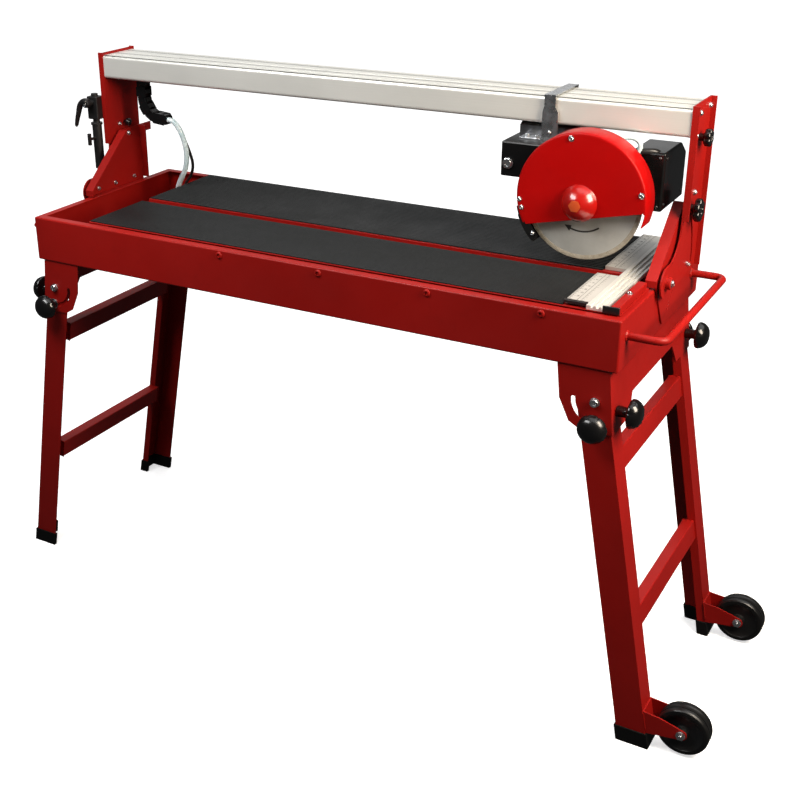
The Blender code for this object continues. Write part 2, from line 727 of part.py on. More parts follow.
# ---- Telescopic post on the outer side of the left column, with its clamp lever ----
collar = softened(box((-0.735, -0.7048), (0.0210, 0.0480), (1.045, 1.099)), 0.002)
collar = cut(collar, cylinder("Z", (-0.721, 0.0345), 0.0085, 1.03, 1.11, 24))
finish(collar, "post_collar", "black_plastic")
post = fused(
    cylinder("Z", (-0.721, 0.0345), 0.0082, 1.030, 1.105, 24),
    cylinder("Z", (-0.721, 0.0345), 0.0115, 0.925, 1.0315, 24),
    cylinder("Z", (-0.721, 0.0345), 0.0140, 1.0310, 1.0360, 24),
    cylinder("Y", (-0.721, 1.0000), 0.0035, 0.006, 0.030, 16),
    box((-0.7245, -0.7175), (0.001, 0.0075), (0.986, 1.014)),
)
finish(post, "post", "black_plastic")
lever_foot = (-0.721, 0.0210, 1.0850)
lever = [
    (0.0, 0.0003),
    (0.0065, 0.0003),
    (0.0065, 0.0100),
    (0.0090, 0.0110),
    (0.0090, 0.0230),
    (0.0070, 0.0250),
    (0.0, 0.0250),
]
lever = turned(lever, "-Y", lever_foot, 24)
grip_outline = [(-0.7275, 1.0860), (-0.7505, 1.0300), (-0.7445, 1.0270), (-0.7160, 1.0810)]
grip = softened(plate("XZ", grip_outline, 0.0000, 0.0080), 0.0015)
finish(fused(lever, grip), "clamp_lever", "black_plastic", lever_foot, True)

# ---- Cable chain: from the beam's channel down and round to its free end ----
turn_centre = (-0.573, 1.095)
chain = [(-0.635, 1.160), (-0.635, 1.095)] + arc(turn_centre, 0.062, 184, 266, 10)
chain += [(-0.5535, 1.0332), (-0.5535, 1.0592)] + arc(turn_centre, 0.036, 266, 184, 10)
chain += [(-0.609, 1.095), (-0.609, 1.160)]
finish(plate("XZ", chain, 0.086, 0.112), "drag_chain", "black_plastic")

# ---- Hose and cable: from the chain's end down into the tray, to the pump ----
hose = [
    (-0.5505, 0.0935, 1.047),
    (-0.5350, 0.0955, 1.043),
    (-0.5190, 0.0995, 1.018),
    (-0.5115, 0.1060, 0.975),
    (-0.5210, 0.1120, 0.930),
    (-0.5500, 0.1200, 0.885),
    (-0.5620, 0.1240, 0.850),
    (-0.5500, 0.1290, 0.826),
    (-0.5300, 0.1300, 0.820),
    (-0.5124, 0.1300, 0.820),
]
finish(pipe(smooth_path(hose, 0.013), 0.0062, 2), "hose", "clear_hose", None, True)
cable = [
    (-0.5505, 0.1065, 1.047),
    (-0.5390, 0.1110, 1.032),
    (-0.5230, 0.1210, 0.990),
    (-0.5150, 0.1330, 0.940),
    (-0.5290, 0.1430, 0.905),
    (-0.5530, 0.1510, 0.878),
    (-0.5600, 0.1550, 0.850),
    (-0.5380, 0.1600, 0.822),
    (-0.5005, 0.1600, 0.815),
]
finish(pipe(smooth_path(cable, 0.010), 0.0037, 2), "cable", "black_plastic", None, True)

# ---- Carriage: a trolley in the beam's channel, its steel housing and the strap over the beam ----
trolley_outline = [
    (0.065, 1.1083),
    (0.133, 1.1083),
    (0.133, 1.1300),
    (0.116, 1.1380),
    (0.116, 1.1450),
    (0.146, 1.1450),
    (0.146, 1.1680),
    (0.052, 1.1680),
    (0.052, 1.1450),
    (0.080, 1.1450),
    (0.080, 1.1380),
    (0.065, 1.1300),
]
finish(plate("YZ", trolley_outline, 0.350, 0.470), "trolley", "black_steel")

pin = (HINGE[0], HINGE[1])
housing = softened(box((0.337, 0.445), (0.006, 0.120), (1.0387, 1.1080)), 0.003)
housing = cut(housing, box((0.340, 0.460), (0.009, 0.117), (1.0300, 1.1050)))
housing = fused(
    housing,
    cylinder("Y", pin, 0.0050, 0.0020, 0.1240, 24),
    cylinder("Y", pin, 0.0085, 0.0020, 0.0065, 6),
)
finish(housing, "carriage_housing", "black_steel")

strap_front = [
    (0.406, 1.1083),
    (0.438, 1.1083),
    (0.438, 1.1660),
    (0.432, 1.1760),
    (0.432, 1.1990),
    (0.409, 1.1990),
    (0.409, 1.1760),
    (0.406, 1.1660),
]
strap = fused(
    plate("XZ", strap_front, 0.0365, 0.0390),
    box((0.4095, 0.4315), (0.0370, 0.1615), (1.1962, 1.1988)),
    box((0.4098, 0.4312), (0.1590, 0.1613), (1.1700, 1.1980)),
    box((0.360, 0.4375), (0.0375, 0.0640), (1.1085, 1.1115)),
)
finish(strap, "beam_strap", "zinc")

# ---- Head: cast arm, motor with its switch box, blade guard, hub cap and splash flap ----
bar = [(0.354, 1.0757), (0.470, 1.0790), (0.500, 1.0600), (0.480, 1.0050), (0.455, 1.0150), (0.354, 1.0552)]
arm = fused(
    plate("XZ", circle(BLADE_CENTRE, 0.066, 48), 0.020, 0.042),
    plate("XZ", bar, 0.0205, 0.0415),
    cylinder("Y", pin, 0.0110, 0.0125, 0.1135),
    cylinder("Y", BLADE_CENTRE, 0.0300, 0.0035, 0.0210),
)
arm = cut(
    arm,
    cylinder("Y", BLADE_CENTRE, 0.0088, -0.01, 0.06),
    cylinder("Y", pin, 0.0053, 0.0, 0.13, 24),
)
hinge = (HINGE[0], 0.06, HINGE[1])
finish(arm, "head_arm", "black_steel", hinge)

motor_profile = [
    (0.0, 0.0),
    (0.0600, 0.0),
    (0.0620, 0.002),
    (0.0620, 0.118),
    (0.0600, 0.120),
    (0.0600, 0.145),
    (0.0540, 0.152),
    (0.0, 0.152),
]
motor = turned(motor_profile, "Y", (BLADE_CENTRE[0], 0.0425, BLADE_CENTRE[1]), 40)
finish(motor, "motor", "black_plastic", hinge, True)

shell = [(0.044, 0.995), (0.185, 0.995), (0.185, 1.085), (0.152, 1.108), (0.044, 1.108)]
finish(
    softened(plate("YZ", shell, 0.584, 0.650), 0.004, 2, 20),
    "switch_box",
    "black_plastic",
    hinge,
)

spin = Matrix.Translation((GUARD_CENTRE[0], 0, GUARD_CENTRE[1])) @ Matrix.Rotation(-GUARD_TURN, 4, "Y")


def guard_outline(radius, low):
    """A disc cut off flat, low below its centre."""
    edge = math.degrees(math.asin(low / radius))
    return arc((0, 0), radius, -edge, 180 + edge, 44)


guard = plate("XZ", guard_outline(GUARD_RADIUS, 0.064), *GUARD_Y)
guard = cut(
    guard,
    plate("XZ", circle((0, 0), GUARD_RADIUS - 0.002, 52), GUARD_Y[0] + 0.002, GUARD_Y[1] - 0.002),
    box((-0.105, 0.105), (GUARD_Y[0] + 0.002, GUARD_Y[1] - 0.002), (-0.09, -0.03)),
    box((-0.2, 0.2), (-0.06, GUARD_Y[0] + 0.0025), (-0.1, -0.0368)),
    box((-0.2, -0.05), (-0.06, GUARD_Y[1] - 0.0022), (-0.1, -0.046)),
)
guard = moved(guard, spin)
guard = cut(
    guard,
    cylinder("Y", BLADE_CENTRE, 0.022, -0.01, 0.01),
    cylinder("Y", BLADE_CENTRE, 0.029, -0.06, -0.04),
)
finish(guard, "blade_guard", "red_paint", hinge)

dome = [
    (0.0, 0.0250),
    (0.0100, 0.0250),
    (0.0135, 0.0240),
    (0.0240, 0.0180),
    (0.0310, 0.0085),
    (0.0340, 0.0),
    (0.0318, 0.0),
    (0.0290, 0.0075),
    (0.0225, 0.0160),
    (0.0125, 0.0218),
    (0.0, 0.0225),
]
dome = turned(dome, "-Y", (BLADE_CENTRE[0], GUARD_Y[0] - GAP, BLADE_CENTRE[1]), 40)
finish(dome, "hub_cap", "red_paint", hinge, True)

flap = arc(GUARD_CENTRE, 0.1272, 194, 228, 10) + arc(GUARD_CENTRE, 0.1300, 228, 194, 10)
finish(plate("XZ", flap, -0.046, 0.000), "splash_flap", "rubber_foot", hinge)

# ---- Spindle: shaft with its inner flange, blade, outer flange and nut ----
axis = (BLADE_CENTRE[0], BLADE_Y[0], BLADE_CENTRE[1])
spindle = [
    (0.0, -0.0410),
    (0.0080, -0.0410),
    (0.0080, 0.0195),
    (0.0240, 0.0195),
    (0.0240, BLADE_Y[1] * -1 - GAP),
    (0.0080, BLADE_Y[1] * -1 - GAP),
    (0.0080, 0.0475),
    (0.0, 0.0475),
]
spindle = turned(spindle, "-Y", (axis[0], 0, axis[2]))
finish(spindle, "spindle", "zinc", axis, True)
bore = circle(BLADE_CENTRE, 0.0083, 24)
disc = plate("XZ", circle(BLADE_CENTRE, BLADE_RADIUS, 96), *BLADE_Y, [bore])
finish(disc, "blade", "blade_steel", axis, True)
washer = plate("XZ", circle(BLADE_CENTRE, 0.022, 32), -0.0362, -0.0302, [bore])
finish(washer, "outer_flange", "zinc", axis, True)
nut = plate("XZ", circle(BLADE_CENTRE, 0.0130, 6), -0.0455, -0.0365, [bore])
finish(nut, "arbor_nut", "zinc", axis)
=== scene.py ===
"""Looks for the wet tile saw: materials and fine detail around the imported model."""

import math

import bmesh
import bpy
from mathutils import Matrix, Vector


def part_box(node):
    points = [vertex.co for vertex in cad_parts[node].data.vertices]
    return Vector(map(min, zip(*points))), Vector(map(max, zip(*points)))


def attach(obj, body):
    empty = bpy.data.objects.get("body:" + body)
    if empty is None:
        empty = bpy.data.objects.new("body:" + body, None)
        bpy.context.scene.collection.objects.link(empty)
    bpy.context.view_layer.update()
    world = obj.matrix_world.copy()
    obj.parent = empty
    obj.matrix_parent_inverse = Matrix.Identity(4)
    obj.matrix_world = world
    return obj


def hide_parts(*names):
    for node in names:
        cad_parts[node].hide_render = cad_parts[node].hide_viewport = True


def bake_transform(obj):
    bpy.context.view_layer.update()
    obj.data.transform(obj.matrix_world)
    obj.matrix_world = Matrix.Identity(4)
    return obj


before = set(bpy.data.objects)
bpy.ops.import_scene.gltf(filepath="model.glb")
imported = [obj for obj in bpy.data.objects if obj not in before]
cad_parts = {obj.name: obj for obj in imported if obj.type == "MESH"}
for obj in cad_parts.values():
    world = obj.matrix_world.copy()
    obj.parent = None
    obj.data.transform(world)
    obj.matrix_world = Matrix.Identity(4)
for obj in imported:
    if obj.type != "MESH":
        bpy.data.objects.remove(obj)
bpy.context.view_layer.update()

# Pieces are laid out from the middle of the tray. SHIFT moves them into the model's frame.
SHIFT = Vector(((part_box("tray")[0][0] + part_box("tray")[1][0]) / 2, 0.0, 0.0))
TAU = 2 * math.pi


# ---- Camera ----
def aim_camera():
    azimuth, elevation, roll = (math.radians(a) for a in (31.7, 23.2573, -1.0836))
    back = Vector(
        (
            math.sin(azimuth) * math.cos(elevation),
            -math.cos(azimuth) * math.cos(elevation),
            math.sin(elevation),
        )
    )
    right = Vector((math.cos(azimuth), math.sin(azimuth), 0.0))
    up = back.cross(right)
    turned_right = right * math.cos(roll) + up * math.sin(roll)
    turned_up = up * math.cos(roll) - right * math.sin(roll)
    data = bpy.data.cameras.new("camera")
    data.sensor_width = 36.0
    data.lens = 55.975
    data.shift_x = 0.1068
    data.shift_y = -0.0421
    data.clip_end = 100.0
    camera = bpy.data.objects.new("camera", data)
    camera.matrix_world = Matrix.Translation(Vector((1.28113, -2.23257, 1.66802)) + SHIFT) @ (
        Matrix((turned_right, turned_up, back)).transposed().to_4x4()
    )
    bpy.context.scene.collection.objects.link(camera)
    bpy.context.scene.camera = camera


aim_camera()


# ---- Materials ----
class Paint:
    """A Principled material, built from a few node calls."""

    def __init__(self, name, color, roughness, metallic=0.0, **sockets):
        self.made = bpy.data.materials.new(name)
        self.made.use_nodes = True
        self.made.diffuse_color = (*color, 1.0)
        self.tree = self.made.node_tree
        self.shader = self.tree.nodes["Principled BSDF"]
        self.color = color
        self.shader.inputs["Base Color"].default_value = (*color, 1.0)
        self.shader.inputs["Roughness"].default_value = roughness
        self.shader.inputs["Metallic"].default_value = metallic
        for key, value in sockets.items():
            self.shader.inputs[key.replace("_", " ")].default_value = value
        place = self.tree.nodes.new("ShaderNodeTexCoord")
        self.place = place.outputs["Object"]

    def node(self, kind, **inputs):
        made = self.tree.nodes.new(kind)
        for key, value in inputs.items():
            socket = made.inputs[int(key[1:])] if key[1:].isdigit() else made.inputs[key.replace("_", " ")]
            if isinstance(value, bpy.types.NodeSocket):
                self.tree.links.new(value, socket)
            else:
                socket.default_value = value
        return made

    def stretched(self, scale):
        mapping = self.node("ShaderNodeMapping", Vector=self.place)
        mapping.inputs["Scale"].default_value = scale
        return mapping.outputs["Vector"]

    def noise(self, scale, detail=3.0, rough=0.55, stretch=None):
        place = self.stretched(stretch) if stretch else self.place
        made = self.node("ShaderNodeTexNoise", Vector=place, Scale=scale, Detail=detail, Roughness=rough)
        return made.outputs["Fac"]

    def ramp(self, factor, low, high, start=0.0, end=1.0):
        made = self.node("ShaderNodeMapRange", Value=factor)
        for socket, value in zip(("From Min", "From Max", "To Min", "To Max"), (start, end, low, high)):
            made.inputs[socket].default_value = value
        return made.outputs["Result"]

    def mixed(self, factor, first, second, blend="MIX"):
        made = self.node("ShaderNodeMix")
        made.data_type = "RGBA"
        made.blend_type = blend
        for socket, value in ((0, factor), (6, first), (7, second)):
            if isinstance(value, bpy.types.NodeSocket):
                self.tree.links.new(value, made.inputs[socket])
            elif socket:
                made.inputs[socket].default_value = (*value, 1.0)
            else:
                made.inputs[socket].default_value = value
        return made.outputs[2]

    def wire(self, name, output):
        self.tree.links.new(output, self.shader.inputs[name])

    def bump(self, height, strength, distance):
        normal = self.shader.inputs["Normal"]
        before = normal.links[0].from_socket if normal.is_linked else None
        made = self.node("ShaderNodeBump", Height=height, Strength=strength, Distance=distance)
        if before:
            self.tree.links.new(before, made.inputs["Normal"])
        self.tree.links.new(made.outputs["Normal"], normal)


def shade(color, factor):
    return tuple(min(1.0, part * factor) for part in color)


def powder_coat(name, color, roughness, coat=0.35, gloss=0.5):
    """Baked paint: a faint orange peel, slow drifts of tone and a few dull rubbed patches."""
    paint = Paint(name, color, roughness, Coat_Weight=coat, Coat_Roughness=0.16, Specular_IOR_Level=gloss)
    drift = paint.ramp(paint.noise(3.2, 4.0), 0.0, 1.0, 0.35, 0.68)
    tone = paint.mixed(drift, shade(color, 0.86), shade(color, 1.1))
    rub = paint.ramp(paint.noise(26.0, 6.0, 0.62), 0.0, 0.5, 0.6, 0.78)
    paint.wire("Base Color", paint.mixed(rub, tone, shade(color, 0.74)))
    haze = paint.ramp(paint.noise(9.0, 5.0), roughness - 0.06, roughness + 0.1, 0.3, 0.7)
    paint.wire("Roughness", haze)
    paint.bump(paint.noise(420.0, 2.0), 0.22, 0.0004)
    paint.bump(paint.noise(14.0, 2.0), 0.06, 0.003)
    return paint.made


def moulded(name, color, roughness, grain=900.0, strength=0.25, **sockets):
    """Moulded plastic or rubber: fine grain, and patches that are a little greyer and duller."""
    paint = Paint(name, color, roughness, **sockets)
    cloud = paint.ramp(paint.noise(11.0, 5.0), 0.0, 1.0, 0.35, 0.7)
    paint.wire("Base Color", paint.mixed(cloud, color, shade(color, 1.55)))
    paint.wire("Roughness", paint.ramp(cloud, roughness - 0.05, roughness + 0.09))
    paint.bump(paint.noise(grain, 3.0), strength, 0.0003)
    return paint.made


def brushed(name, color, roughness, stretch, strength=0.12, metallic=1.0, **sockets):
    """Metal with fine lines along the short axis of stretch, and a slow change of tone."""
    paint = Paint(name, color, roughness, metallic, **sockets)
    lines = paint.noise(1.0, 3.0, 0.6, stretch)
    cloud = paint.noise(5.0, 3.0)
    tone = paint.mixed(paint.ramp(cloud, 0.0, 1.0, 0.3, 0.7), shade(color, 0.93), shade(color, 1.05))
    paint.wire("Base Color", paint.mixed(paint.ramp(lines, 0.0, 0.35, 0.4, 0.8), tone, shade(color, 0.88)))
    paint.wire("Roughness", paint.ramp(lines, roughness - 0.05, roughness + 0.1, 0.3, 0.7))
    paint.bump(lines, strength, 0.0003)
    return paint.made


def plated(name, color, roughness):
    """Bright zinc plate: clouded, with faint blue and straw patches and small spots."""
    paint = Paint(name, color, roughness, 1.0)
    cloud = paint.ramp(paint.noise(60.0, 5.0, 0.6), 0.0, 1.0, 0.35, 0.68)
    tone = paint.mixed(cloud, shade(color, 0.8), (color[0] * 1.02, color[1] * 1.04, color[2] * 1.08))
    spots = paint.ramp(paint.noise(700.0, 4.0, 0.7), 0.0, 0.5, 0.58, 0.72)
    paint.wire("Base Color", paint.mixed(spots, tone, shade(color, 0.55)))
    paint.wire("Roughness", paint.ramp(cloud, roughness - 0.02, roughness + 0.07))
    paint.bump(paint.noise(500.0, 3.0), 0.06, 0.0002)
    return paint.made


RED = powder_coat("red_powder_coat", (0.285, 0.006, 0.004), 0.42, 0.05, 0.22)
GUARD_RED = powder_coat("guard_gloss_red", (0.37, 0.0018, 0.0016), 0.36, 0.04, 0.14)
DOME_RED = powder_coat("dome_gloss_red", (0.36, 0.005, 0.003), 0.2, 0.5)
# Orange for the hub dome's top: a painted reflection.
HUB_REFLECTION_ORANGE = moulded("hub_top_painted_reflection", (0.42, 0.06, 0.014), 0.34)
BLACK_COAT = powder_coat("black_powder_coat", (0.0028, 0.0028, 0.003), 0.32, 0.1, 0.3)
BLACK_GLOSS = moulded("black_gloss_plastic", (0.003, 0.003, 0.0032), 0.2, 600.0, 0.1, Coat_Weight=0.1)
BLACK_PLASTIC = moulded("black_plastic_grained", (0.006, 0.006, 0.0063), 0.38, 1100.0, 0.35)
RUBBER_MAT = moulded("mat_rubber", (0.008, 0.0085, 0.0086), 0.46, 700.0, 0.45, Specular_IOR_Level=0.13)
FOOT_RUBBER = moulded("foot_rubber", (0.004, 0.004, 0.004), 0.55, 700.0, 0.4, Specular_IOR_Level=0.15)
TYRE_RUBBER = moulded("tyre_rubber", (0.0035, 0.0035, 0.0035), 0.36, 500.0, 0.18)
CABLE_BLACK = moulded("cable_sheath", (0.009, 0.009, 0.0095), 0.32, 1200.0, 0.2)
ANODISED = brushed("anodised_rail", (0.85, 0.85, 0.8), 0.36, (1.2, 900.0, 900.0), 0.03, 0.5)
ENGRAVED = brushed("printed_scale", (0.6, 0.59, 0.555), 0.34, (1500.0, 6.0, 1500.0), 0.03, 0.35)
FENCE_METAL = brushed("fence_rail_metal", (0.74, 0.73, 0.685), 0.34, (1500.0, 3.0, 1500.0), 0.03, 0.4)
ZINC = plated("zinc_plate", (0.78, 0.79, 0.79), 0.26)
# Black for print, and also for painted shade on the rail top and on the motor's vents.
PRINT_AND_SHADE_BLACK = moulded("print_and_painted_shade_black", (0.02, 0.02, 0.02), 0.6)
DARK_STEEL = plated("dark_steel", (0.22, 0.22, 0.225), 0.34)


def blade_metal():
    """Ground steel: rings round the arbor, faint radial strokes and stain."""
    paint = Paint("blade_ground_steel", (0.5, 0.5, 0.47), 0.46, 0.5)
    centre = paint.node("ShaderNodeVectorMath", _0=paint.place)
    centre.operation = "SUBTRACT"
    centre.inputs[1].default_value = Vector((BLADE[0], 0.0, BLADE[1])) + SHIFT
    split = paint.node("ShaderNodeSeparateXYZ", Vector=centre.outputs[0])
    flat = paint.node("ShaderNodeCombineXYZ", X=split.outputs[0], Y=split.outputs[2])
    reach = paint.node("ShaderNodeVectorMath", _0=flat.outputs[0])
    reach.operation = "LENGTH"
    rings = paint.node("ShaderNodeTexNoise", Scale=1.0, Detail=3.0)
    scaled = paint.node("ShaderNodeMath", _0=reach.outputs["Value"], _1=900.0)
    scaled.operation = "MULTIPLY"
    line = paint.node("ShaderNodeCombineXYZ", X=scaled.outputs[0])
    paint.tree.links.new(line.outputs[0], rings.inputs["Vector"])
    stain = paint.ramp(paint.noise(22.0, 5.0), 0.0, 1.0, 0.35, 0.7)
    tone = paint.mixed(stain, (0.45, 0.45, 0.42), (0.54, 0.54, 0.505))
    ring = paint.ramp(rings.outputs["Fac"], 0.0, 0.35, 0.45, 0.75)
    paint.wire("Base Color", paint.mixed(ring, tone, (0.39, 0.39, 0.365)))
    paint.wire("Roughness", paint.ramp(rings.outputs["Fac"], 0.4, 0.56, 0.3, 0.7))
    paint.bump(rings.outputs["Fac"], 0.1, 0.0002)
    return paint.made


def diamond_grit():
    """The sintered rim: sandy bronze with hard bright grains."""
    paint = Paint("diamond_rim", (0.33, 0.285, 0.215), 0.62, 0.35)
    grains = paint.node("ShaderNodeTexVoronoi", Vector=paint.place, Scale=1400.0)
    spot = paint.ramp(grains.outputs["Distance"], 1.0, 0.0, 0.1, 0.45)
    cloud = paint.ramp(paint.noise(90.0, 4.0), 0.0, 1.0, 0.35, 0.7)
    tone = paint.mixed(cloud, (0.25, 0.215, 0.16), (0.39, 0.345, 0.27))
    paint.wire("Base Color", paint.mixed(spot, tone, (0.52, 0.49, 0.42)))
    paint.bump(grains.outputs["Distance"], 0.6, 0.0004)
    return paint.made


def hose_plastic():
    """Pale clear tube, faintly blue, with a milky inner wall."""
    paint = Paint(
        "clear_hose_blue", (0.56, 0.72, 0.76), 0.22, Transmission_Weight=0.25, IOR=1.42, Coat_Weight=0.3
    )
    milk = paint.ramp(paint.noise(40.0, 4.0), 0.0, 1.0, 0.35, 0.7)
    paint.wire("Base Color", paint.mixed(milk, (0.62, 0.79, 0.83), (0.8, 0.9, 0.92)))
    paint.wire("Roughness", paint.ramp(milk, 0.16, 0.32))
    paint.bump(paint.noise(300.0, 2.0), 0.1, 0.0003)
    return paint.made


BLADE = (0.5215, 1.0201)
BLADE_STEEL = blade_metal()
GRIT = diamond_grit()
HOSE_BLUE = hose_plastic()


# ---- Shape helpers. Each makes one object with its mesh in place ----
def add(name, verts, faces, paint, body, sharp=35.0):
    mesh = bpy.data.meshes.new(name)
    mesh.from_pydata([tuple(v) for v in verts], [], faces)
    work = bmesh.new()
    work.from_mesh(mesh)
    bmesh.ops.remove_doubles(work, verts=work.verts, dist=2e-6)
    bmesh.ops.recalc_face_normals(work, faces=work.faces)
    work.to_mesh(mesh)
    work.free()
    mesh.transform(Matrix.Translation(SHIFT))
    mesh.materials.append(paint)
    mesh.shade_smooth()
    mesh.set_sharp_from_angle(angle=math.radians(sharp))
    made = bpy.data.objects.new(name, mesh)
    bpy.context.scene.collection.objects.link(made)
    if body:
        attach(made, body)
    return made


def frame_of(axis, foot):
    """A matrix that stands local Z along the axis at the foot."""
    axis = Vector(axis).normalized()
    turn = Vector((0, 0, 1)).rotation_difference(axis).to_matrix().to_4x4()
    return Matrix.Translation(foot) @ turn


HEX = 6


def ring_reach(radius, turn, sides):
    """Radius of a regular outline with flats, or of a circle if sides is 0."""
    if not sides:
        return radius
    part = TAU / sides
    return radius / math.cos((turn % part) - part / 2)


def lathe(name, profile, axis, foot, paint, body, steps=32, sharp=35.0, wave=None):
    """Turned piece. A profile point is (radius, height) or (radius, height, sides) for flats."""
    place = frame_of(axis, foot)
    verts, faces = [], []
    for point in profile:
        sides = point[2] if len(point) > 2 else 0
        for step in range(steps):
            turn = TAU * step / steps
            reach = ring_reach(point[0], turn, sides)
            if wave:
                reach = wave(reach, point[1], turn)
            verts.append(place @ Vector((reach * math.cos(turn), reach * math.sin(turn), point[1])))
    for row in range(len(profile) - 1):
        for step in range(steps):
            here, ahead = row * steps + step, row * steps + (step + 1) % steps
            faces.append((here, ahead, ahead + steps, here + steps))
    if profile[0][0] > 1e-6:
        faces.append(tuple(range(steps))[::-1])
    if profile[-1][0] > 1e-6:
        last = (len(profile) - 1) * steps
        faces.append(tuple(last + step for step in range(steps)))
    return add(name, verts, faces, paint, body, sharp)


def open_lathe(name, profile, axis, foot, paint, body, steps=32, sharp=35.0):
    """Turned piece with a closed profile, so with a hole down its axis."""
    place = frame_of(axis, foot)
    verts, faces = [], []
    count = len(profile)
    for step in range(steps):
        turn = TAU * step / steps
        for radius, height in profile:
            verts.append(place @ Vector((radius * math.cos(turn), radius * math.sin(turn), height)))
    for step in range(steps):
        ahead = (step + 1) % steps
        for row in range(count):
            nxt = (row + 1) % count
            faces.append(
                (step * count + row, ahead * count + row, ahead * count + nxt, step * count + nxt)
            )
    return add(name, verts, faces, paint, body, sharp)


PLANES = {
    "XY": lambda u, v, w: (u, v, w),
    "YZ": lambda u, v, w: (w, u, v),
    "XZ": lambda u, v, w: (u, w, v),
}


def plate(name, plane, outline, low, high, paint, body, holes=(), sharp=35.0):
    """A flat outline, with holes, made thick from low to high across its plane."""
    curve = bpy.data.curves.new(name, "CURVE")
    curve.dimensions = "2D"
    curve.fill_mode = "BOTH"
    curve.extrude = (high - low) / 2
    for ring in (outline, *holes):
        spline = curve.splines.new("POLY")
        spline.points.add(len(ring) - 1)
        for point, (u, v) in zip(spline.points, ring):
            point.co = (u, v, 0, 1)
        spline.use_cyclic_u = True
    blank = bpy.data.objects.new(name, curve)
    bpy.context.scene.collection.objects.link(blank)
    bpy.context.view_layer.update()
    mesh = bpy.data.meshes.new_from_object(blank.evaluated_get(bpy.context.evaluated_depsgraph_get()))
    bpy.data.objects.remove(blank, do_unlink=True)
    middle = (low + high) / 2
    verts = [PLANES[plane](v.co.x, v.co.y, v.co.z + middle) for v in mesh.vertices]
    faces = [tuple(face.vertices) for face in mesh.polygons]
    bpy.data.meshes.remove(mesh)
    return add(name, verts, faces, paint, body, sharp)


def block(name, x, y, z, paint, body, edge=0.0):
    """A box with rounded edges."""
    work = bmesh.new()
    bmesh.ops.create_cube(work, size=1.0)
    for vert in work.verts:
        for axis, (low, high) in enumerate((x, y, z)):
            vert.co[axis] = high if vert.co[axis] > 0 else low
    if edge:
        bmesh.ops.bevel(
            work, geom=list(work.edges), offset=edge, segments=3, profile=0.5, affect="EDGES"
        )
    verts = [tuple(v.co) for v in work.verts]
    faces = [tuple(v.index for v in f.verts) for f in work.faces]
    work.free()
    return add(name, verts, faces, paint, body)


def tube(name, path, radii, paint, body, sides=20, flat=1.0, lean=None):
    """A round bar along a path. radii is one radius, or one for each point; flat squashes it."""
    path = [Vector(p) for p in path]
    if not hasattr(radii, "__len__"):
        radii = [radii] * len(path)
    verts, faces = [], []
    side = None
    for index, point in enumerate(path):
        ahead = path[min(index + 1, len(path) - 1)] - path[max(index - 1, 0)]
        ahead.normalize()
        if side is None:
            side = Vector(lean) if lean else ahead.orthogonal()
        side = (side - ahead * side.dot(ahead)).normalized()
        across = ahead.cross(side)
        for step in range(sides):
            turn = TAU * step / sides
            reach = side * math.cos(turn) + across * math.sin(turn) * flat
            verts.append(point + reach * radii[index])
    for row in range(len(path) - 1):
        for step in range(sides):
            here, nxt = row * sides + step, row * sides + (step + 1) % sides
            faces.append((here, nxt, nxt + sides, here + sides))
    faces.append(tuple(range(sides))[::-1])
    last = (len(path) - 1) * sides
    faces.append(tuple(last + step for step in range(sides)))
    return add(name, verts, faces, paint, body, 50.0)


def arc(centre, radius, start, stop, count):
    turns = (math.radians(start + (stop - start) * step / count) for step in range(count + 1))
    return [(centre[0] + radius * math.cos(a), centre[1] + radius * math.sin(a)) for a in turns]


def circle(centre, radius, count=40):
    return arc(centre, radius, 0, 360, count)[:-1]


def smooth_path(knots, spacing):
    """Evenly spaced points on a smooth curve through the knots."""
    knots = [Vector(knot) for knot in knots]
    ends = [2 * knots[0] - knots[1], *knots, 2 * knots[-1] - knots[-2]]
    fine = []
    for p0, p1, p2, p3 in zip(ends, ends[1:], ends[2:], ends[3:]):
        for step in range(20):
            t = step / 20
            straight = 2 * p1 + (p2 - p0) * t
            curl = (2 * p0 - 5 * p1 + 4 * p2 - p3) * t * t + (3 * p1 - p0 - 3 * p2 + p3) * t**3
            fine.append((straight + curl) / 2)
    fine.append(knots[-1])
    path = [fine[0]]
    for point in fine[1:]:
        if (point - path[-1]).length >= spacing:
            path.append(point)
    path[-1] = fine[-1]
    return path


def cap_screw(name, foot, axis, radius, height, paint, body, washer=0.0):
    """A button-headed screw with a hexagon socket, on a washer if washer is over 1."""
    base = 0.0
    if washer:
        base = radius * 0.16
        ring = [(radius * washer, 0.0), (radius * washer, base * 0.8), (radius * washer * 0.96, base)]
        lathe(f"{name}_washer", ring, axis, foot, ZINC, body, 28)
    profile = [
        (radius, base), (radius, base + height * 0.3), (radius * 0.93, base + height * 0.62),
        (radius * 0.74, base + height * 0.9), (radius * 0.58, base + height),
        (radius * 0.5, base + height, HEX), (radius * 0.46, base + height * 0.35, HEX),
    ]
    return lathe(name, profile, axis, foot, paint, body, 30, 25.0)


def hex_screw(name, foot, axis, radius, height, paint, body, washer=1.35):
    """A hexagon-headed screw with chamfered corners, on a washer."""
    base = radius * 0.18
    ring = [(radius * washer, 0.0), (radius * washer, base * 0.8), (radius * washer * 0.96, base)]
    lathe(f"{name}_washer", ring, axis, foot, ZINC, body, 28)
    profile = [
        (radius * 0.87, base, HEX), (radius * 0.87, base + height * 0.82, HEX),
        (radius * 0.84, base + height, 0), (radius * 0.55, base + height * 1.02, 0),
        (radius * 0.5, base + height * 0.92, 0),
    ]
    return lathe(name, profile, axis, foot, paint, body, 36, 25.0)


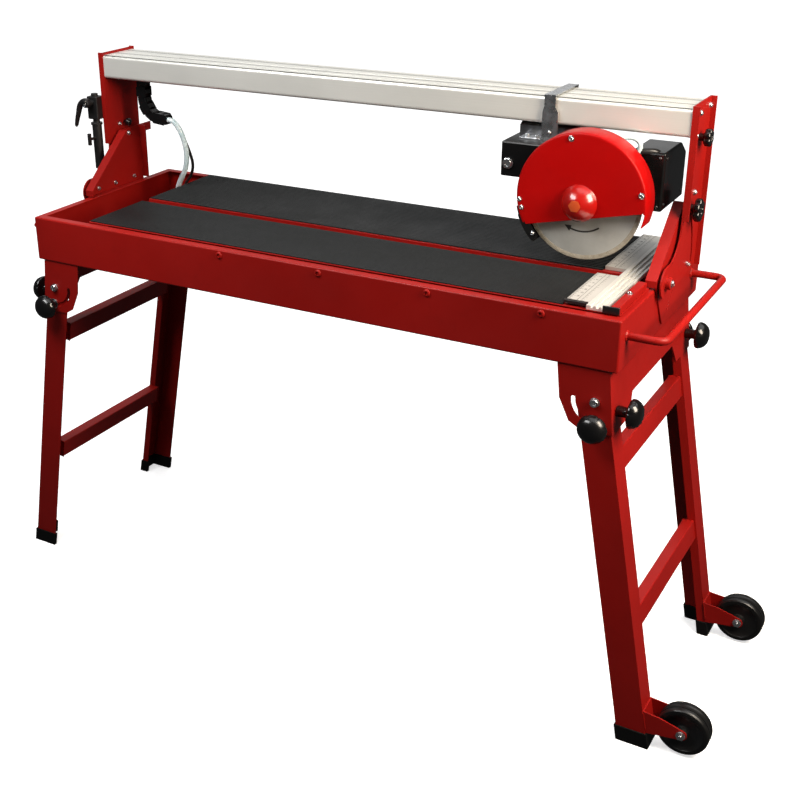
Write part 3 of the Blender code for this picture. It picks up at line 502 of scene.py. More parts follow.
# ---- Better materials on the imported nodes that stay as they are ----
def coat(nodes, paint, edge=0.0):
    """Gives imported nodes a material, and softens their folded or moulded edges."""
    for name in nodes:
        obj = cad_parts[name]
        for slot in obj.material_slots:
            slot.material = paint
        if not edge:
            continue
        weld = obj.modifiers.new("weld", "WELD")
        weld.merge_threshold = 0.00002
        bevel = obj.modifiers.new("edge", "BEVEL")
        bevel.width = edge
        bevel.segments = 2
        bevel.limit_method = "ANGLE"
        bevel.angle_limit = math.radians(38)
        bevel.harden_normals = False


coat(("tray", "panel_front", "panel_back", "fence_tube"), RED, 0.0009)
coat(("table_frame", "bracket_left", "bracket_right", "column_left", "column_right"), RED, 0.0006)
coat(("leg_mount_left", "leg_mount_right", "leg_frame_left", "leg_frame_right"), RED, 0.0006)
coat(("carriage_housing", "head_arm"), BLACK_COAT, 0.0006)
coat(("trolley",), DARK_STEEL, 0.0006)
coat(("pump", "post_collar", "post"), BLACK_PLASTIC, 0.0005)
coat(("switch_box",), BLACK_GLOSS, 0.0009)
coat(("foot_left_front", "foot_left_back", "foot_right_front", "foot_right_back"), FOOT_RUBBER, 0.0009)
coat(("beam",), ANODISED, 0.0003)
coat(("scale_front", "scale_back"), ENGRAVED, 0.0004)
coat(("fence_rail",), FENCE_METAL, 0.0003)
coat(("beam_strap",), ZINC, 0.0005)
coat(("spindle", "outer_flange", "arbor_nut"), DARK_STEEL, 0.0004)
coat(("fence_cap",), BLACK_PLASTIC, 0.0003)


# ---- Rubber mats with ribs along the saw ----
def ribbed_mat(name, node, pitch, depth, land):
    low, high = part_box(node)
    x = (low[0] - SHIFT.x, high[0] - SHIFT.x)
    y0, y1, z0, top = low[1], high[1], low[2], high[2]
    outline = [(y0, z0), (y0, top - 0.0006), (y0 + 0.0006, top)]
    y = y0 + pitch
    while y + pitch < y1:
        outline += [
            (y - land, top), (y - land * 0.55, top - depth), (y + land * 0.55, top - depth),
            (y + land, top),
        ]
        y += pitch
    outline += [(y1 - 0.0006, top), (y1, top - 0.0006), (y1, z0)]
    made = plate(name, "YZ", outline, *x, RUBBER_MAT, "base", sharp=20.0)
    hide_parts(node)


ribbed_mat("mat_back_ribs", "mat_back", 0.009, 0.0018, 0.003)
ribbed_mat("mat_front_ribs", "mat_front", 0.0066, 0.0005, 0.0012)


# ---- Scale bars: printed divisions and figures ----
def scale_marks(name, node, direction):
    low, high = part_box(node)
    left = low[0] - SHIFT.x
    top = high[2]
    start = high[1] if direction < 0 else low[1]
    count = int((high[1] - low[1]) / 0.0025)
    verts, faces = [], []

    def dash(x0, x1, y0, y1):
        base = len(verts)
        for z in (top - 0.0001, top + 0.00012):
            verts.extend([(x0, y0, z), (x1, y0, z), (x1, y1, z), (x0, y1, z)])
        for face in ((3, 2, 1, 0), (4, 5, 6, 7), (0, 1, 5, 4), (1, 2, 6, 5), (2, 3, 7, 6), (3, 0, 4, 7)):
            faces.append(tuple(base + corner for corner in face))

    for step in range(1, count):
        y = start + direction * step * 0.0025
        reach = 0.0085 if step % 8 == 0 else 0.0062 if step % 4 == 0 else 0.0038
        dash(left + 0.0012, left + 0.0012 + reach, y - 0.00022, y + 0.00022)
        if step % 4 == 0:
            dash(left + 0.0265, left + 0.0265 + reach * 0.55, y - 0.00022, y + 0.00022)
    dash(left + 0.019, left + 0.0196, low[1] + 0.001, high[1] - 0.001)
    dash(left + 0.0262, left + 0.0266, low[1] + 0.001, high[1] - 0.001)
    marks = add(name, verts, faces, PRINT_AND_SHADE_BLACK, "base")
    digits_verts, digits_faces = [], []
    for step in range(8, count - 3, 8):
        text = bpy.data.curves.new("figure", "FONT")
        text.body = str(step // 4)
        text.size = 0.0068
        text.align_x = "CENTER"
        text.align_y = "CENTER"
        text.resolution_u = 2
        text.extrude = 0.0001
        blank = bpy.data.objects.new("figure", text)
        bpy.context.scene.collection.objects.link(blank)
        bpy.context.view_layer.update()
        graph = bpy.context.evaluated_depsgraph_get()
        mesh = bpy.data.meshes.new_from_object(blank.evaluated_get(graph))
        bpy.data.objects.remove(blank, do_unlink=True)
        place = Matrix.Translation((left + 0.014, start + direction * step * 0.0025, top + 0.00004))
        place = place @ Matrix.Rotation(math.radians(90), 4, "Z")
        base = len(digits_verts)
        digits_verts += [place @ v.co for v in mesh.vertices]
        digits_faces += [tuple(base + i for i in face.vertices) for face in mesh.polygons]
        bpy.data.meshes.remove(mesh)
    figures = add(f"{name}_figures", digits_verts, digits_faces, PRINT_AND_SHADE_BLACK, "base")


scale_marks("scale_front_marks", "scale_front", -1)
scale_marks("scale_back_marks", "scale_back", 1)
plug = block("fence_tube_plug", (0.6395, 0.6705), (-0.2295, -0.2263), (0.8822, 0.896), BLACK_PLASTIC, "base", 0.001)
hex_screw("fence_screw", (0.662, -0.15, 0.8966), (0, 0, 1), 0.0042, 0.0032, ZINC, "base")

# ---- Dark strips along the top of the rail: painted shade where its grooves are ----
low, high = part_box("beam")
deep = high[1] - low[1]
for index, (part, width) in enumerate(((0.035, 0.0026), (0.39, 0.0028), (0.73, 0.0016), (0.79, 0.0012))):
    y = low[1] + deep * part
    x = (low[0] - SHIFT.x + 0.002, high[0] - SHIFT.x - 0.002)
    # Each black strip is painted groove shade.
    groove_shade_strip = block(f"rail_groove_shade_{index}", x, (y - width / 2, y + width / 2), (high[2] - 0.0004, high[2] + 0.00012), PRINT_AND_SHADE_BLACK, "bridge")

# ---- Small screws on the tray, table and mounts ----
for index, x in enumerate((-0.171, 0.067, 0.306, 0.534)):
    for side in (-1, 1):
        where = (x, side * 0.248, 0.868)
        cap_screw(f"tray_screw_{index}_{side + 1}", where, (0, side, 0), 0.0074, 0.0036, RED, "base")
for side in (-1, 1):
    where = (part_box("tray")[0][0] - SHIFT.x, side * 0.236, 0.857)
    cap_screw(f"end_screw_{side + 1}", where, (-1, 0, 0), 0.0066, 0.01, RED, "base")

FOLD = (0.644, 0.716)
for end in (-1, 1):
    for side in (-1, 1):
        where = (end * FOLD[0], side * 0.2445, FOLD[1])
        screw = lathe(
            f"fold_screw_{end + 1}_{side + 1}",
            [
                (0.0092, 0.0), (0.0092, 0.0012), (0.008, 0.0014), (0.008, 0.0062), (0.0072, 0.0072),
                (0.004, 0.0072, HEX), (0.0038, 0.0047, HEX),
            ],
            (0, side, 0),
            where,
            ZINC,
            "base",
            36,
            25.0,
        )
        nut_foot = (end * FOLD[0], side * 0.239, FOLD[1])
        nut = [(0.0078, 0.0, HEX), (0.0078, 0.0055, HEX), (0.007, 0.0064), (0.0042, 0.0064), (0.0036, 0.0085)]
        lathe(f"fold_nut_{end + 1}_{side + 1}", nut, (0, -side, 0), nut_foot, ZINC, "base", 36, 25.0)


# ---- Round-headed clamp knobs ----
def clamp_knob(node, axis, foot):
    def notched(reach, height, turn):
        if reach < 0.024 or height > 0.033:
            return reach
        part = TAU / 8
        off = abs((turn % part) - part / 2) / (part / 2)
        return reach - 0.0013 * max(0.0, 1.0 - off * 3.2)

    profile = [
        (0.006, 0.0004), (0.01, 0.0004), (0.0104, 0.001), (0.0098, 0.018), (0.0108, 0.0205),
        (0.015, 0.0222), (0.0238, 0.0232), (0.0262, 0.024), (0.0276, 0.0258), (0.028, 0.0282),
        (0.0276, 0.0306), (0.0262, 0.0348), (0.0236, 0.0392), (0.0198, 0.043), (0.015, 0.0457),
        (0.0095, 0.0472), (0.004, 0.0476), (0.0004, 0.0477),
    ]
    if "end" in node:
        profile = [(radius, height + 0.001) for radius, height in profile]
    knob = lathe(f"{node}_head", profile, axis, foot, BLACK_GLOSS, node, 96, 50.0, notched)
    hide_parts(node)
    seat = [(0.0118, 0.0002), (0.0118, 0.001), (0.011, 0.0012)]
    if "swing" in node:
        washer = lathe(f"{node}_washer", seat, axis, foot, ZINC, node, 32)


for node, obj in list(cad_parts.items()):
    if node.startswith("knob_"):
        low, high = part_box(node)
        side = -1 if "front" in node else 1
        end = 1 if "right" in node else -1
        if "swing" in node:
            middle = ((low[0] + high[0]) / 2 - SHIFT.x, side * 0.2445, (low[2] + high[2]) / 2)
            clamp_knob(node, (0, side, 0), middle)
        else:
            tip = high[0] if end > 0 else low[0]
            foot = (tip - SHIFT.x - end * 0.0487, (low[1] + high[1]) / 2, (low[2] + high[2]) / 2)
            clamp_knob(node, (end, 0, 0), foot)


# ---- Star knobs ----
def star(node, radius, face, reach, end):
    low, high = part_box(node)
    centre = ((low[1] + high[1]) / 2, (low[2] + high[2]) / 2)
    depth = reach - face

    def lobes(size, height, turn):
        if height < depth * 0.42:
            return size
        return size * (1 - 0.2 * abs(math.sin(3 * turn)) ** 5)

    profile = [
        (radius * 0.44, 0.0), (radius * 0.44, depth * 0.3), (radius * 0.55, depth * 0.38),
        (radius * 0.88, depth * 0.44), (radius * 0.97, depth * 0.5), (radius, depth * 0.58),
        (radius, depth * 0.84), (radius * 0.96, depth * 0.93), (radius * 0.86, depth * 0.99),
        (radius * 0.6, depth), (radius * 0.38, depth * 0.985), (radius * 0.34, depth * 0.94),
        (radius * 0.02, depth * 0.94),
    ]
    foot = (end * face, *centre)
    knob = lathe(f"{node}_star", profile, (end, 0, 0), foot, BLACK_GLOSS, node, 96, 50.0, lobes)
    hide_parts(node)


star("tilt_knob_right", 0.0225, 0.6951, 0.718, 1)
star("tilt_knob_left", 0.0225, 0.6951, 0.718, -1)
star("lock_knob", 0.0165, 0.6951, 0.718, 1)
rod = lathe("lock_stud", [(0.0038, 0.0), (0.0038, 0.0205)], (1, 0, 0), (0.6742, 0.094, 1.1345), ZINC, "lock_knob", 24)

# ---- Column, bracket and pivot hardware ----
for end in (-1, 1):
    tag = "right" if end > 0 else "left"
    for index, (y, z, size) in enumerate(
        ((0.082, 1.181, 0.0054), (0.147, 1.184, 0.005), (0.073, 1.14, 0.0042), (0.098, 1.028, 0.005))
    ):
        where = (end * 0.6946, y, z)
        cap_screw(f"column_screw_{tag}_{index}", where, (end, 0, 0), size, size * 0.8, ZINC, "bridge", 1.25)
    for index, (y, z) in enumerate(((0.094, 0.8872), (0.108, 0.8812))):
        where = (end * 0.6946, y, z)
        hex_screw(f"column_nut_{tag}_{index}", where, (end, 0, 0), 0.0036, 0.0028, ZINC, "bridge", 1.2)
    for index, y in enumerate((-0.022, 0.04, 0.112)):
        where = (end * 0.6822, y, 0.8915)
        hex_screw(f"bracket_nut_{tag}_{index}", where, (-end, 0, 0), 0.004, 0.0032, ZINC, "base", 1.3)
    cap_screw(f"bracket_screw_{tag}", (end * 0.6822, 0.103, 1.0), (-end, 0, 0), 0.005, 0.0035, ZINC, "base", 1.2)
    cover = [(0.014, 0.0), (0.0138, 0.001), (0.0118, 0.0014), (0.0118, 0.0098), (0.0108, 0.0106), (0.001, 0.0106)]
    pivot = (end * 0.69465, -0.036, 0.887)
    lathe(f"pivot_cover_{tag}", cover, (end, 0, 0), pivot, RED, "base", 40, 30.0)
    hex_screw(f"pivot_screw_{tag}", (end * 0.70522, -0.036, 0.887), (end, 0, 0), 0.0058, 0.003, ZINC, "base", 1.35)

ball = [
    (0.0035, 0.0), (0.0035, 0.004), (0.006, 0.0048), (0.0088, 0.008), (0.0094, 0.0115),
    (0.0082, 0.015), (0.005, 0.0174), (0.0005, 0.018),
]
lathe("stop_knob", ball, (1, 0, 0), (-0.6913, 0.103, 1.028), BLACK_GLOSS, "bridge", 36, 60.0)
cap_screw("stop_screw", (-0.6913, 0.083, 1.0265), (1, 0, 0), 0.004, 0.003, ZINC, "bridge", 1.2)

# ---- Pull handle ----
corner = 0.018
path = [(0.6823, -0.212, 0.841)]
path += [(x, y, 0.841) for x, y in arc((0.751 - corner, -0.212 + corner), corner, -90, 0, 10)]
path += [(x, y, 0.841) for x, y in arc((0.751 - corner, 0.178 - corner), corner, 0, 90, 10)]
path.append((0.6857, 0.178, 0.841))
handle = tube("pull_handle_bar", path, 0.0075, RED, "base", 28)
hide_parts("pull_handle")
for index, (x, y) in enumerate(((0.6821, -0.212), (0.6856, 0.178))):
    bead = [(0.0104, 0.0), (0.01, 0.0012), (0.0086, 0.0026), (0.0076, 0.0032)]
    ripple = lambda reach, height, turn: reach + 0.0003 * math.sin(11 * turn)
    lathe(f"handle_weld_{index}", bead, (1, 0, 0), (x, y, 0.841), RED, "base", 66, 60.0, ripple)

# ---- Blade, hub and guard ----
core = plate(
    "blade_core", "XZ", circle(BLADE, 0.1075, 180), -0.02965, -0.02775, BLADE_STEEL, "arbor", [circle(BLADE, 0.0083, 40)]
)
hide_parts("blade")
grit_profile = [
    (0.106, 0.0004), (0.1068, 0.0), (0.1142, 0.0), (0.115, 0.0006), (0.115, 0.0018),
    (0.1142, 0.0024), (0.1068, 0.0024), (0.106, 0.002),
]
rim = open_lathe("blade_rim", grit_profile, (0, 1, 0), (BLADE[0], -0.0299, BLADE[1]), GRIT, "arbor", 180)
arrow = arc(BLADE, 0.0584, 249, 306, 24) + arc(BLADE, 0.0618, 306, 249, 24)
plate("blade_arrow", "XZ", arrow, -0.02972, -0.0296, PRINT_AND_SHADE_BLACK, "arbor")
head = [arc(BLADE, reach, turn, turn, 1)[0] for reach, turn in ((0.0601, 237), (0.0662, 250), (0.054, 250))]
plate("blade_arrow_head", "XZ", head, -0.02972, -0.0296, PRINT_AND_SHADE_BLACK, "arbor")

GUARD = (0.5221, 1.0264)
TURN = math.radians(12.4)
OUTER = 0.1267


def on_guard(u, v):
    """A point of the guard's own tilted frame, in X and Z."""
    return (
        GUARD[0] + u * math.cos(TURN) + v * math.sin(TURN) * -1,
        GUARD[1] + u * math.sin(TURN) + v * math.cos(TURN),
    )


def guard_rim():
    """The rolled rim: one section swept round, with its front lip only above the cut edge."""
    chord, low_right, low_left = -0.0368, -0.064, -0.045
    start = math.degrees(math.asin(low_right / OUTER))
    stop = 180 - math.degrees(math.asin(low_left / OUTER))
    lip = [
        (-0.0062, -0.05), (-0.0036, -0.05), (-0.0017, -0.0495), (-0.0005, -0.0483), (0.0, -0.0464),
    ]
    rest = [(0.0, 0.0006), (-0.001, 0.0024), (-0.003, 0.003), (-0.0062, 0.003), (-0.0062, 0.0012)]
    rest += [(-0.002, 0.0012), (-0.002, -0.048), (-0.0062, -0.048)]
    verts, faces = [], []
    steps = 120
    count = len(lip) + len(rest)
    for step in range(steps + 1):
        turn = math.radians(start + (stop - start) * step / steps)
        above = math.sin(turn) * OUTER > chord
        for offset, y in lip + rest:
            if not above:
                offset = max(offset, -0.002)
                y = min(0.003, max(y, -0.048))
            x, z = on_guard((OUTER + offset) * math.cos(turn), (OUTER + offset) * math.sin(turn))
            verts.append((x, y, z))
    for step in range(steps):
        for row in range(count):
            nxt = (row + 1) % count
            here, ahead = step * count, (step + 1) * count
            faces.append((here + row, ahead + row, ahead + nxt, here + nxt))
    faces.append(tuple(range(count))[::-1])
    faces.append(tuple(steps * count + row for row in range(count)))
    return add("guard_rim", verts, faces, GUARD_RED, "head", 40.0)


rim = guard_rim()
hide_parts("blade_guard")


def disc_above(low, radius):
    start = math.degrees(math.asin(low / radius))
    return [on_guard(u, v) for u, v in arc((0, 0), radius, start, 180 - start, 110)]


face = plate("guard_face", "XZ", disc_above(-0.0368, OUTER - 0.0062), -0.05, -0.048, GUARD_RED, "head")
back = plate(
    "guard_back", "XZ", disc_above(-0.03, OUTER - 0.0062), 0.0012, 0.003, GUARD_RED, "head", [circle(BLADE, 0.022, 40)]
)
for index, (x, z, size) in enumerate(
    (
        (0.4986, 1.14, 0.0042), (0.6387, 1.0488, 0.0042), (0.4025, 1.0135, 0.0036),
        (0.4075, 0.9975, 0.0036),
    )
):
    hex_screw(f"guard_screw_{index}", (x, -0.05, z), (0, -1, 0), size, 0.0026, ZINC, "head", 1.4)

dome = [
    (0.0352, 0.0), (0.0356, 0.0012), (0.0344, 0.003), (0.0322, 0.0072), (0.0288, 0.0118),
    (0.0244, 0.016), (0.0196, 0.0196), (0.015, 0.0224), (0.0122, 0.0238), (0.0112, 0.0241),
    (0.0106, 0.0236),
]
cap = lathe("hub_dome", dome, (0, -1, 0), (BLADE[0], -0.0502, BLADE[1]), DOME_RED, "head", 96, 50.0)
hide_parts("hub_cap")
# Orange disc on the dome's top: its colour is a painted reflection.
insert = [(0.0106, 0.0), (0.0104, 0.0018, HEX), (0.0088, 0.0022, HEX), (0.002, 0.0023)]
insert = lathe("hub_top_painted_reflection", insert, (0, -1, 0), (BLADE[0], -0.0731, BLADE[1]), HUB_REFLECTION_ORANGE, "head", 48, 25.0)

flap_outline = arc(GUARD, 0.1268, 193, 227, 26) + arc(GUARD, 0.13, 227, 193, 26)
flap = plate("guard_flap", "XZ", flap_outline, -0.0455, -0.0005, FOOT_RUBBER, "head", sharp=50.0)
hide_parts("splash_flap")
for index, turn in enumerate((197, 223)):
    x, z = arc(GUARD, 0.13, turn, turn, 1)[0]
    outward = (x - GUARD[0], 0, z - GUARD[1])
    cap_screw(f"flap_screw_{index}", (x, -0.036, z), outward, 0.0032, 0.0026, ZINC, "head", 1.3)
cheek = arc(GUARD, 0.113, 200, 226, 20) + arc(GUARD, 0.1298, 226, 200, 20)
plate("flap_cheek", "XZ", cheek, -0.0492, -0.047, FOOT_RUBBER, "head", sharp=50.0)
cap_screw("flap_cheek_screw", (0.432, -0.0492, 0.949), (0, -1, 0), 0.0036, 0.0028, ZINC, "head", 1.2)

# ---- Carriage housing, strap and hinge hardware ----
lathe(
    "hinge_screw",
    [
        (0.0112, 0.0), (0.0112, 0.0012), (0.0092, 0.0014, HEX), (0.0092, 0.0052, HEX),
        (0.0086, 0.006), (0.0046, 0.006), (0.0044, 0.0052),
    ],
    (0, -1, 0), (0.352, 0.006, 1.0655),
    ZINC,
    "carriage",
    36,
    25.0,
)
for index, (x, y) in enumerate(((0.372, 0.05), (0.394, 0.046))):
    hex_screw(f"strap_screw_{index}", (x, y, 1.1116), (0, 0, 1), 0.0046, 0.004, ZINC, "carriage")
cap_screw("strap_face_screw", (0.4225, 0.0364, 1.126), (0, -1, 0), 0.0032, 0.0022, ZINC, "carriage", 1.2)

# ---- Motor with cooling ribs, behind the guard ----
def finned(reach, height, turn):
    if 0.012 < height < 0.116 and reach > 0.058:
        return reach - 0.0022 * (0.5 + 0.5 * math.cos(36 * turn)) ** 3
    return reach


motor_profile = [
    (0.056, 0.0002), (0.06, 0.001), (0.0615, 0.003), (0.0615, 0.012), (0.0619, 0.0125),
    (0.0619, 0.115), (0.0605, 0.116), (0.0605, 0.144), (0.059, 0.149), (0.053, 0.1518),
    (0.03, 0.1518), (0.029, 0.15), (0.001, 0.15),
]
motor = lathe(
    "motor_shell", motor_profile, (0, 1, 0), (BLADE[0], 0.0425, BLADE[1]), BLACK_PLASTIC, "head", 288, 40.0, finned
)
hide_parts("motor")
# Black discs on the motor's back end: painted shade where vent holes would be.
for ring in range(3):
    for step in range(10 + 4 * ring):
        turn = TAU * step / (10 + 4 * ring)
        reach = 0.034 + 0.0075 * ring
        where = (BLADE[0] + reach * math.cos(turn), 0.1943, BLADE[1] + reach * math.sin(turn))
        lathe(f"motor_vent_shade_{ring}_{step}", [(0.0016, 0.0), (0.0016, 0.0003)], (0, 1, 0), where, PRINT_AND_SHADE_BLACK, "head", 10)
for index, (y, z) in enumerate(((0.056, 1.008), (0.173, 1.008), (0.056, 1.096))):
    cap_screw(f"box_screw_{index}", (0.65, y, z), (1, 0, 0), 0.003, 0.0018, DARK_STEEL, "head")
for index, (x, z) in enumerate(((0.5985, 1.098), (0.64, 1.098), (0.64, 1.005))):
    cap_screw(f"box_front_screw_{index}", (x, 0.044, z), (0, -1, 0), 0.0028, 0.0016, DARK_STEEL, "head")

# ---- Short water pipe from the carriage down to the guard ----
loop = [
    (0.56, 0.012, 1.127), (0.574, 0.018, 1.135), (0.59, 0.026, 1.136), (0.602, 0.032, 1.127),
    (0.603, 0.033, 1.115), (0.596, 0.031, 1.102),
]
pipe = tube("guard_water_pipe", smooth_path(loop, 0.004), 0.0048, HOSE_BLUE, "head", 16)
lead = [
    (0.545, 0.042, 1.07), (0.556, 0.04, 1.096), (0.576, 0.04, 1.106), (0.605, 0.042, 1.108),
    (0.626, 0.052, 1.108), (0.632, 0.062, 1.103),
]
lead = tube("motor_lead", smooth_path(lead, 0.005), 0.0056, CABLE_BLACK, "head", 18)

# ---- Wheels: tyre and disc ----
tyre = [
    (0.04, 0.0168), (0.041, 0.0178), (0.0455, 0.018), (0.0486, 0.0172), (0.0503, 0.0152),
    (0.051, 0.0125), (0.0509, 0.0076), (0.05, 0.007), (0.05, 0.0062), (0.0512, 0.0058),
    (0.0512, 0.005), (0.0509, 0.0044), (0.0509, -0.0044),
]
tyre += [(radius, -height) for radius, height in reversed(tyre[:-1])]
disc = [
    (0.0043, 0.023), (0.0105, 0.023), (0.012, 0.022), (0.0124, 0.014), (0.014, 0.0128),
    (0.027, 0.012), (0.0345, 0.0138), (0.0385, 0.016), (0.0404, 0.017),
]
disc += [(radius, -height) for radius, height in reversed(disc)]
for side, y in (("front", -0.2142), ("back", 0.2142)):
    foot = (0.863, y, 0.0563)
    ring = open_lathe(f"tyre_{side}", tyre, (0, 1, 0), foot, TYRE_RUBBER, f"wheel_{side}", 96, 30.0)
    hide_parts(f"wheel_{side}")
    hub = open_lathe(f"rim_{side}", disc, (0, 1, 0), foot, BLACK_PLASTIC, f"wheel_{side}", 72, 30.0)
    for edge in (-1, 1):
        where = (0.863, y + edge * 0.0262, 0.0563)
        lathe(
            f"axle_nut_{side}_{edge + 1}",
            [
                (0.0092, 0.0), (0.0092, 0.001), (0.0078, 0.0012, HEX), (0.0078, 0.0048, HEX),
                (0.007, 0.0056), (0.0042, 0.0056), (0.0038, 0.0066),
            ],
            (0, edge, 0),
            where,
            ZINC,
            "legs_right",
            36,
            25.0,
        )

# ---- Weld beads where rails meet legs, and where forks meet legs ----
LEAN = math.radians(10.65)


def on_leg(n, s):
    """A point of the upright leg frame: n out from the leg's line, s down it from the fold axis."""
    return (
        FOLD[0] + n * math.cos(LEAN) + s * math.sin(LEAN),
        FOLD[1] + n * math.sin(LEAN) - s * math.cos(LEAN),
    )


def bead(name, start, stop, body, size=0.0016):
    start, stop = Vector(start), Vector(stop)
    count = max(4, int((stop - start).length / 0.0012))
    path = [start.lerp(stop, step / count) for step in range(count + 1)]
    sizes = [size * (0.86 + 0.14 * math.cos(step * 1.9)) for step in range(count + 1)]
    made = tube(name, path, sizes, RED, body, 10)


for end in (-1, 1):
    body = "legs_right" if end > 0 else "legs_left"
    for rail, (top, bottom) in enumerate(((0.112, 0.157), (0.4467, 0.4904))):
        for side in (-1, 1):
            y = side * 0.1896
            for mark, (a, b) in enumerate((((-0.006, top), (-0.006, bottom)), ((-0.006, top), (0.005, top)), ((-0.006, bottom), (0.005, bottom)))):
                x0, z0 = on_leg(*a)
                x1, z1 = on_leg(*b)
                bead(f"rail_bead_{end + 1}_{rail}_{side + 1}_{mark}", (end * x0, y, z0), (end * x1, y, z1), body)
for side in (-1, 1):
    for edge in (-0.0262, 0.0262):
        y = side * 0.2142 + edge
        x0, z0 = on_leg(0.0238, 0.652)
        x1, z1 = on_leg(0.0238, 0.688)
        bead(f"fork_bead_{side + 1}_{edge > 0}", (x0, y, z0), (x1, y, z1), "legs_right")

# ---- Clamp lever on the post ----
lever_foot = (-0.721, 0.0207, 1.085)
hub = [
    (0.0068, 0.0), (0.0068, 0.006), (0.0062, 0.008), (0.0088, 0.009), (0.0092, 0.0105),
    (0.0092, 0.0205), (0.0084, 0.0225), (0.005, 0.0235), (0.0046, 0.0225), (0.0004, 0.0225),
]
boss = lathe("lever_hub", hub, (0, -1, 0), lever_foot, BLACK_PLASTIC, "lever", 40, 35.0)
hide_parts("clamp_lever")
arm_path = smooth_path(
    [
        (-0.715, 0.006, 1.089), (-0.73, 0.0055, 1.09), (-0.741, 0.004, 1.08), (-0.747, 0.002, 1.06),
        (-0.752, 0.0005, 1.042), (-0.755, 0.0002, 1.029),
    ],
    0.003,
)
sizes = [0.0115 - 0.006 * index / (len(arm_path) - 1) for index in range(len(arm_path))]
sizes[0] *= 0.6
sizes[-1] *= 0.55
arm = tube("lever_arm", arm_path, sizes, BLACK_PLASTIC, "lever", 20, 0.7, (0, 1, 0))
cap_screw("lever_screw", (-0.721, -0.002, 1.085), (0, -1, 0), 0.0042, 0.0018, ZINC, "lever")

# ---- Cable chain: jointed links along its bend ----
CHAIN_Y = (0.086, 0.112)
line = [(-0.622, 1.16), (-0.622, 1.14), (-0.622, 1.118), (-0.622, 1.095)]
line += arc((-0.573, 1.095), 0.049, 180, 268, 12)[1:]
line.append((-0.556, 1.0458))
centres = [(p.x, p.z) for p in smooth_path([(x, 0.0, z) for x, z in line], 0.02)]
for index, (start, stop) in enumerate(zip(centres, centres[1:])):
    run = Vector((stop[0] - start[0], stop[1] - start[1]))
    along = run.normalized()
    across = Vector((-along.y, along.x))
    middle = (Vector(start) + Vector(stop)) / 2
    half = run.length / 2 + 0.004
    deep = 0.0118 if index % 2 else 0.013

    def corner_at(u, v):
        spot = middle + along * u + across * v
        return (spot.x, spot.y)

    outline = [
        corner_at(-half, -deep * 0.45),
        corner_at(-half * 0.72, -deep),
        corner_at(half * 0.72, -deep),
        corner_at(half, -deep * 0.45),
        corner_at(half, deep * 0.45),
        corner_at(half * 0.72, deep),
        corner_at(-half * 0.72, deep),
        corner_at(-half, deep * 0.45),
    ]
    inset = 0.0 if index % 2 == 0 else 0.002
    for side in (-1, 1):
        edge = CHAIN_Y[0] + inset if side < 0 else CHAIN_Y[1] - inset
        low, high = sorted((edge, edge - side * 0.002))
        link = plate(f"link_{index}_{side + 1}", "XZ", outline, low, high, BLACK_GLOSS, "bridge", sharp=30.0)
        pin_x, pin_z = corner_at(half - 0.006, 0.0)
        pin = [(0.0048, 0.0), (0.0048, 0.001), (0.0042, 0.0014), (0.002, 0.0014)]
        lathe(f"link_pin_{index}_{side + 1}", pin, (0, side, 0), (pin_x, edge - side * 0.0012, pin_z), BLACK_GLOSS, "bridge", 24)
    for rung, lift in enumerate((-1, 1)):
        bar = [
            corner_at(-0.0045, lift * deep * 0.96),
            corner_at(0.0045, lift * deep * 0.96),
            corner_at(0.0045, lift * deep * 0.74),
            corner_at(-0.0045, lift * deep * 0.74),
        ]
        plate(f"link_bar_{index}_{rung}", "XZ", bar, CHAIN_Y[0] + 0.001, CHAIN_Y[1] - 0.001, BLACK_PLASTIC, "bridge")
last_link = plate(
    "chain_end", "XZ", [(-0.564, 1.035), (-0.5538, 1.035), (-0.5538, 1.0575), (-0.564, 1.0575)],
    0.088, 0.11, BLACK_PLASTIC, "bridge",
)
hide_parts("drag_chain")

# ---- Hose and cable from the chain's end down into the tray ----
def route(knots, spacing):
    return [Vector(p) + SHIFT for p in smooth_path(knots, spacing)]


def flexible(name, knots, spacing, radius, paint, node):
    points = route(knots, spacing)
    made = tube(name, [p - SHIFT for p in points], radius, paint, None, 20)
    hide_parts(node)
    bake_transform(made)
    return made


hose_knots = [
    (-0.5505, 0.0935, 1.047), (-0.535, 0.0955, 1.043), (-0.519, 0.0995, 1.018),
    (-0.5115, 0.106, 0.975), (-0.521, 0.112, 0.93), (-0.55, 0.12, 0.885), (-0.562, 0.124, 0.85),
    (-0.55, 0.129, 0.826), (-0.53, 0.13, 0.82), (-0.5124, 0.13, 0.82),
]
flexible("water_hose", hose_knots, 0.013, 0.0062, HOSE_BLUE, "hose")
cable_knots = [
    (-0.5505, 0.1065, 1.047), (-0.539, 0.111, 1.032), (-0.523, 0.121, 0.99), (-0.515, 0.133, 0.94),
    (-0.529, 0.143, 0.905), (-0.553, 0.151, 0.878), (-0.56, 0.155, 0.85), (-0.538, 0.16, 0.822),
    (-0.5005, 0.16, 0.815),
]
flexible("pump_cable", cable_knots, 0.01, 0.0037, CABLE_BLACK, "cable")

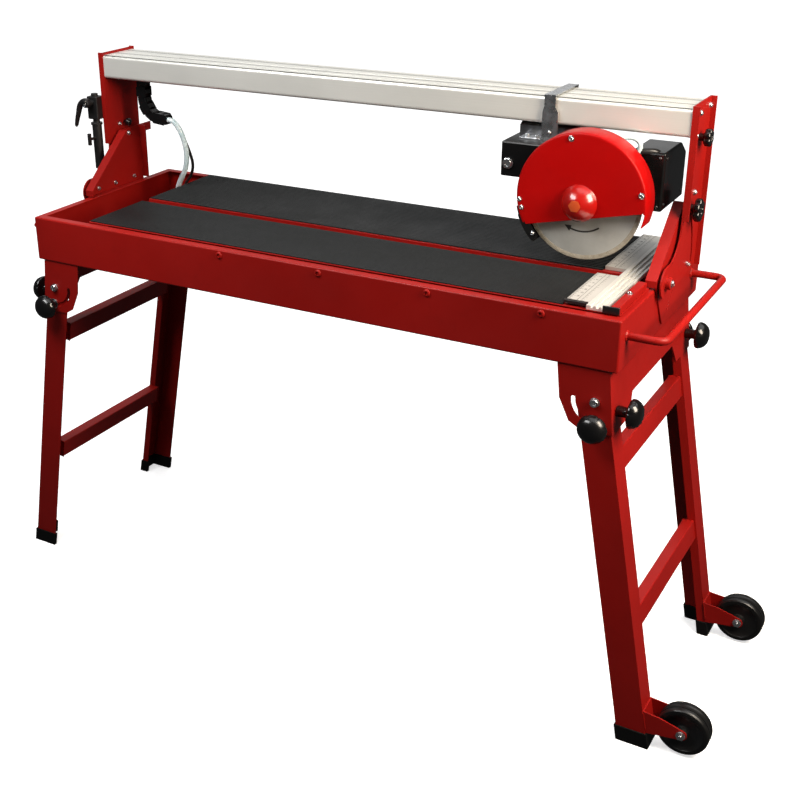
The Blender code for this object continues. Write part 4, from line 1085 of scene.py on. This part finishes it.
# ---- Floor and light ----
floor_mesh = bpy.data.meshes.new("floor")
floor_mesh.from_pydata([(-30, -30, 0), (30, -30, 0), (30, 30, 0), (-30, 30, 0)], [], [(0, 1, 2, 3)])
floor_paint = Paint("floor_pale", (0.9, 0.9, 0.9), 0.9)
floor_paint.shader.inputs["Specular IOR Level"].default_value = 0.1
floor_paint.shader.inputs["Emission Color"].default_value = (1.0, 1.0, 1.0, 1.0)
floor_paint.shader.inputs["Emission Strength"].default_value = 0.62
floor_mesh.materials.append(floor_paint.made)
floor = bpy.data.objects.new("floor", floor_mesh)
floor.visible_diffuse = False
floor.visible_glossy = False
bpy.context.scene.collection.objects.link(floor)

world = bpy.data.worlds.new("studio")
world.use_nodes = True
world.node_tree.nodes["Background"].inputs["Color"].default_value = (1.0, 1.0, 1.0, 1.0)
seen = world.node_tree.nodes.new("ShaderNodeLightPath")
level = world.node_tree.nodes.new("ShaderNodeMapRange")
level.inputs["To Min"].default_value = 0.055
level.inputs["To Max"].default_value = 1.0
world.node_tree.links.new(seen.outputs["Is Camera Ray"], level.inputs["Value"])
world.node_tree.links.new(level.outputs["Result"], world.node_tree.nodes["Background"].inputs["Strength"])
bpy.context.scene.world = world


def softbox(name, place, aim, size, watts, color=(1.0, 1.0, 1.0)):
    data = bpy.data.lights.new(name, "AREA")
    data.shape = "RECTANGLE"
    data.size, data.size_y = size
    data.energy = watts
    data.color = color
    lamp = bpy.data.objects.new(name, data)
    lamp.location = place
    direction = Vector(aim) - Vector(place)
    lamp.rotation_euler = direction.to_track_quat("-Z", "Y").to_euler()
    lamp.visible_camera = False
    bpy.context.scene.collection.objects.link(lamp)


softbox("front_light", (-0.6, -1.1, 2.1), (-0.05, 0.0, 1.05), (1.2, 0.5), 28.0)
softbox("right_light", (1.55, -0.35, 1.65), (0.5, 0.0, 0.8), (0.6, 0.9), 44.0, (1.0, 0.86, 0.7))
softbox("back_light", (-2.2, 3.6, 2.9), (0.0, 0.0, 0.9), (5.0, 3.0), 24.0)

sky_data = bpy.data.lights.new("sky_light", "SUN")
sky_data.energy = 1.7
sky_data.angle = math.radians(70)
sky = bpy.data.objects.new("sky_light", sky_data)
sky.rotation_euler = (math.radians(-8), math.radians(8), 0.0)
sky.location = (0.0, 0.0, 4.0)
bpy.context.scene.collection.objects.link(sky)

scene = bpy.context.scene
scene.view_settings.view_transform = "Standard"
scene.view_settings.look = "None"
scene.view_settings.exposure = 0.0
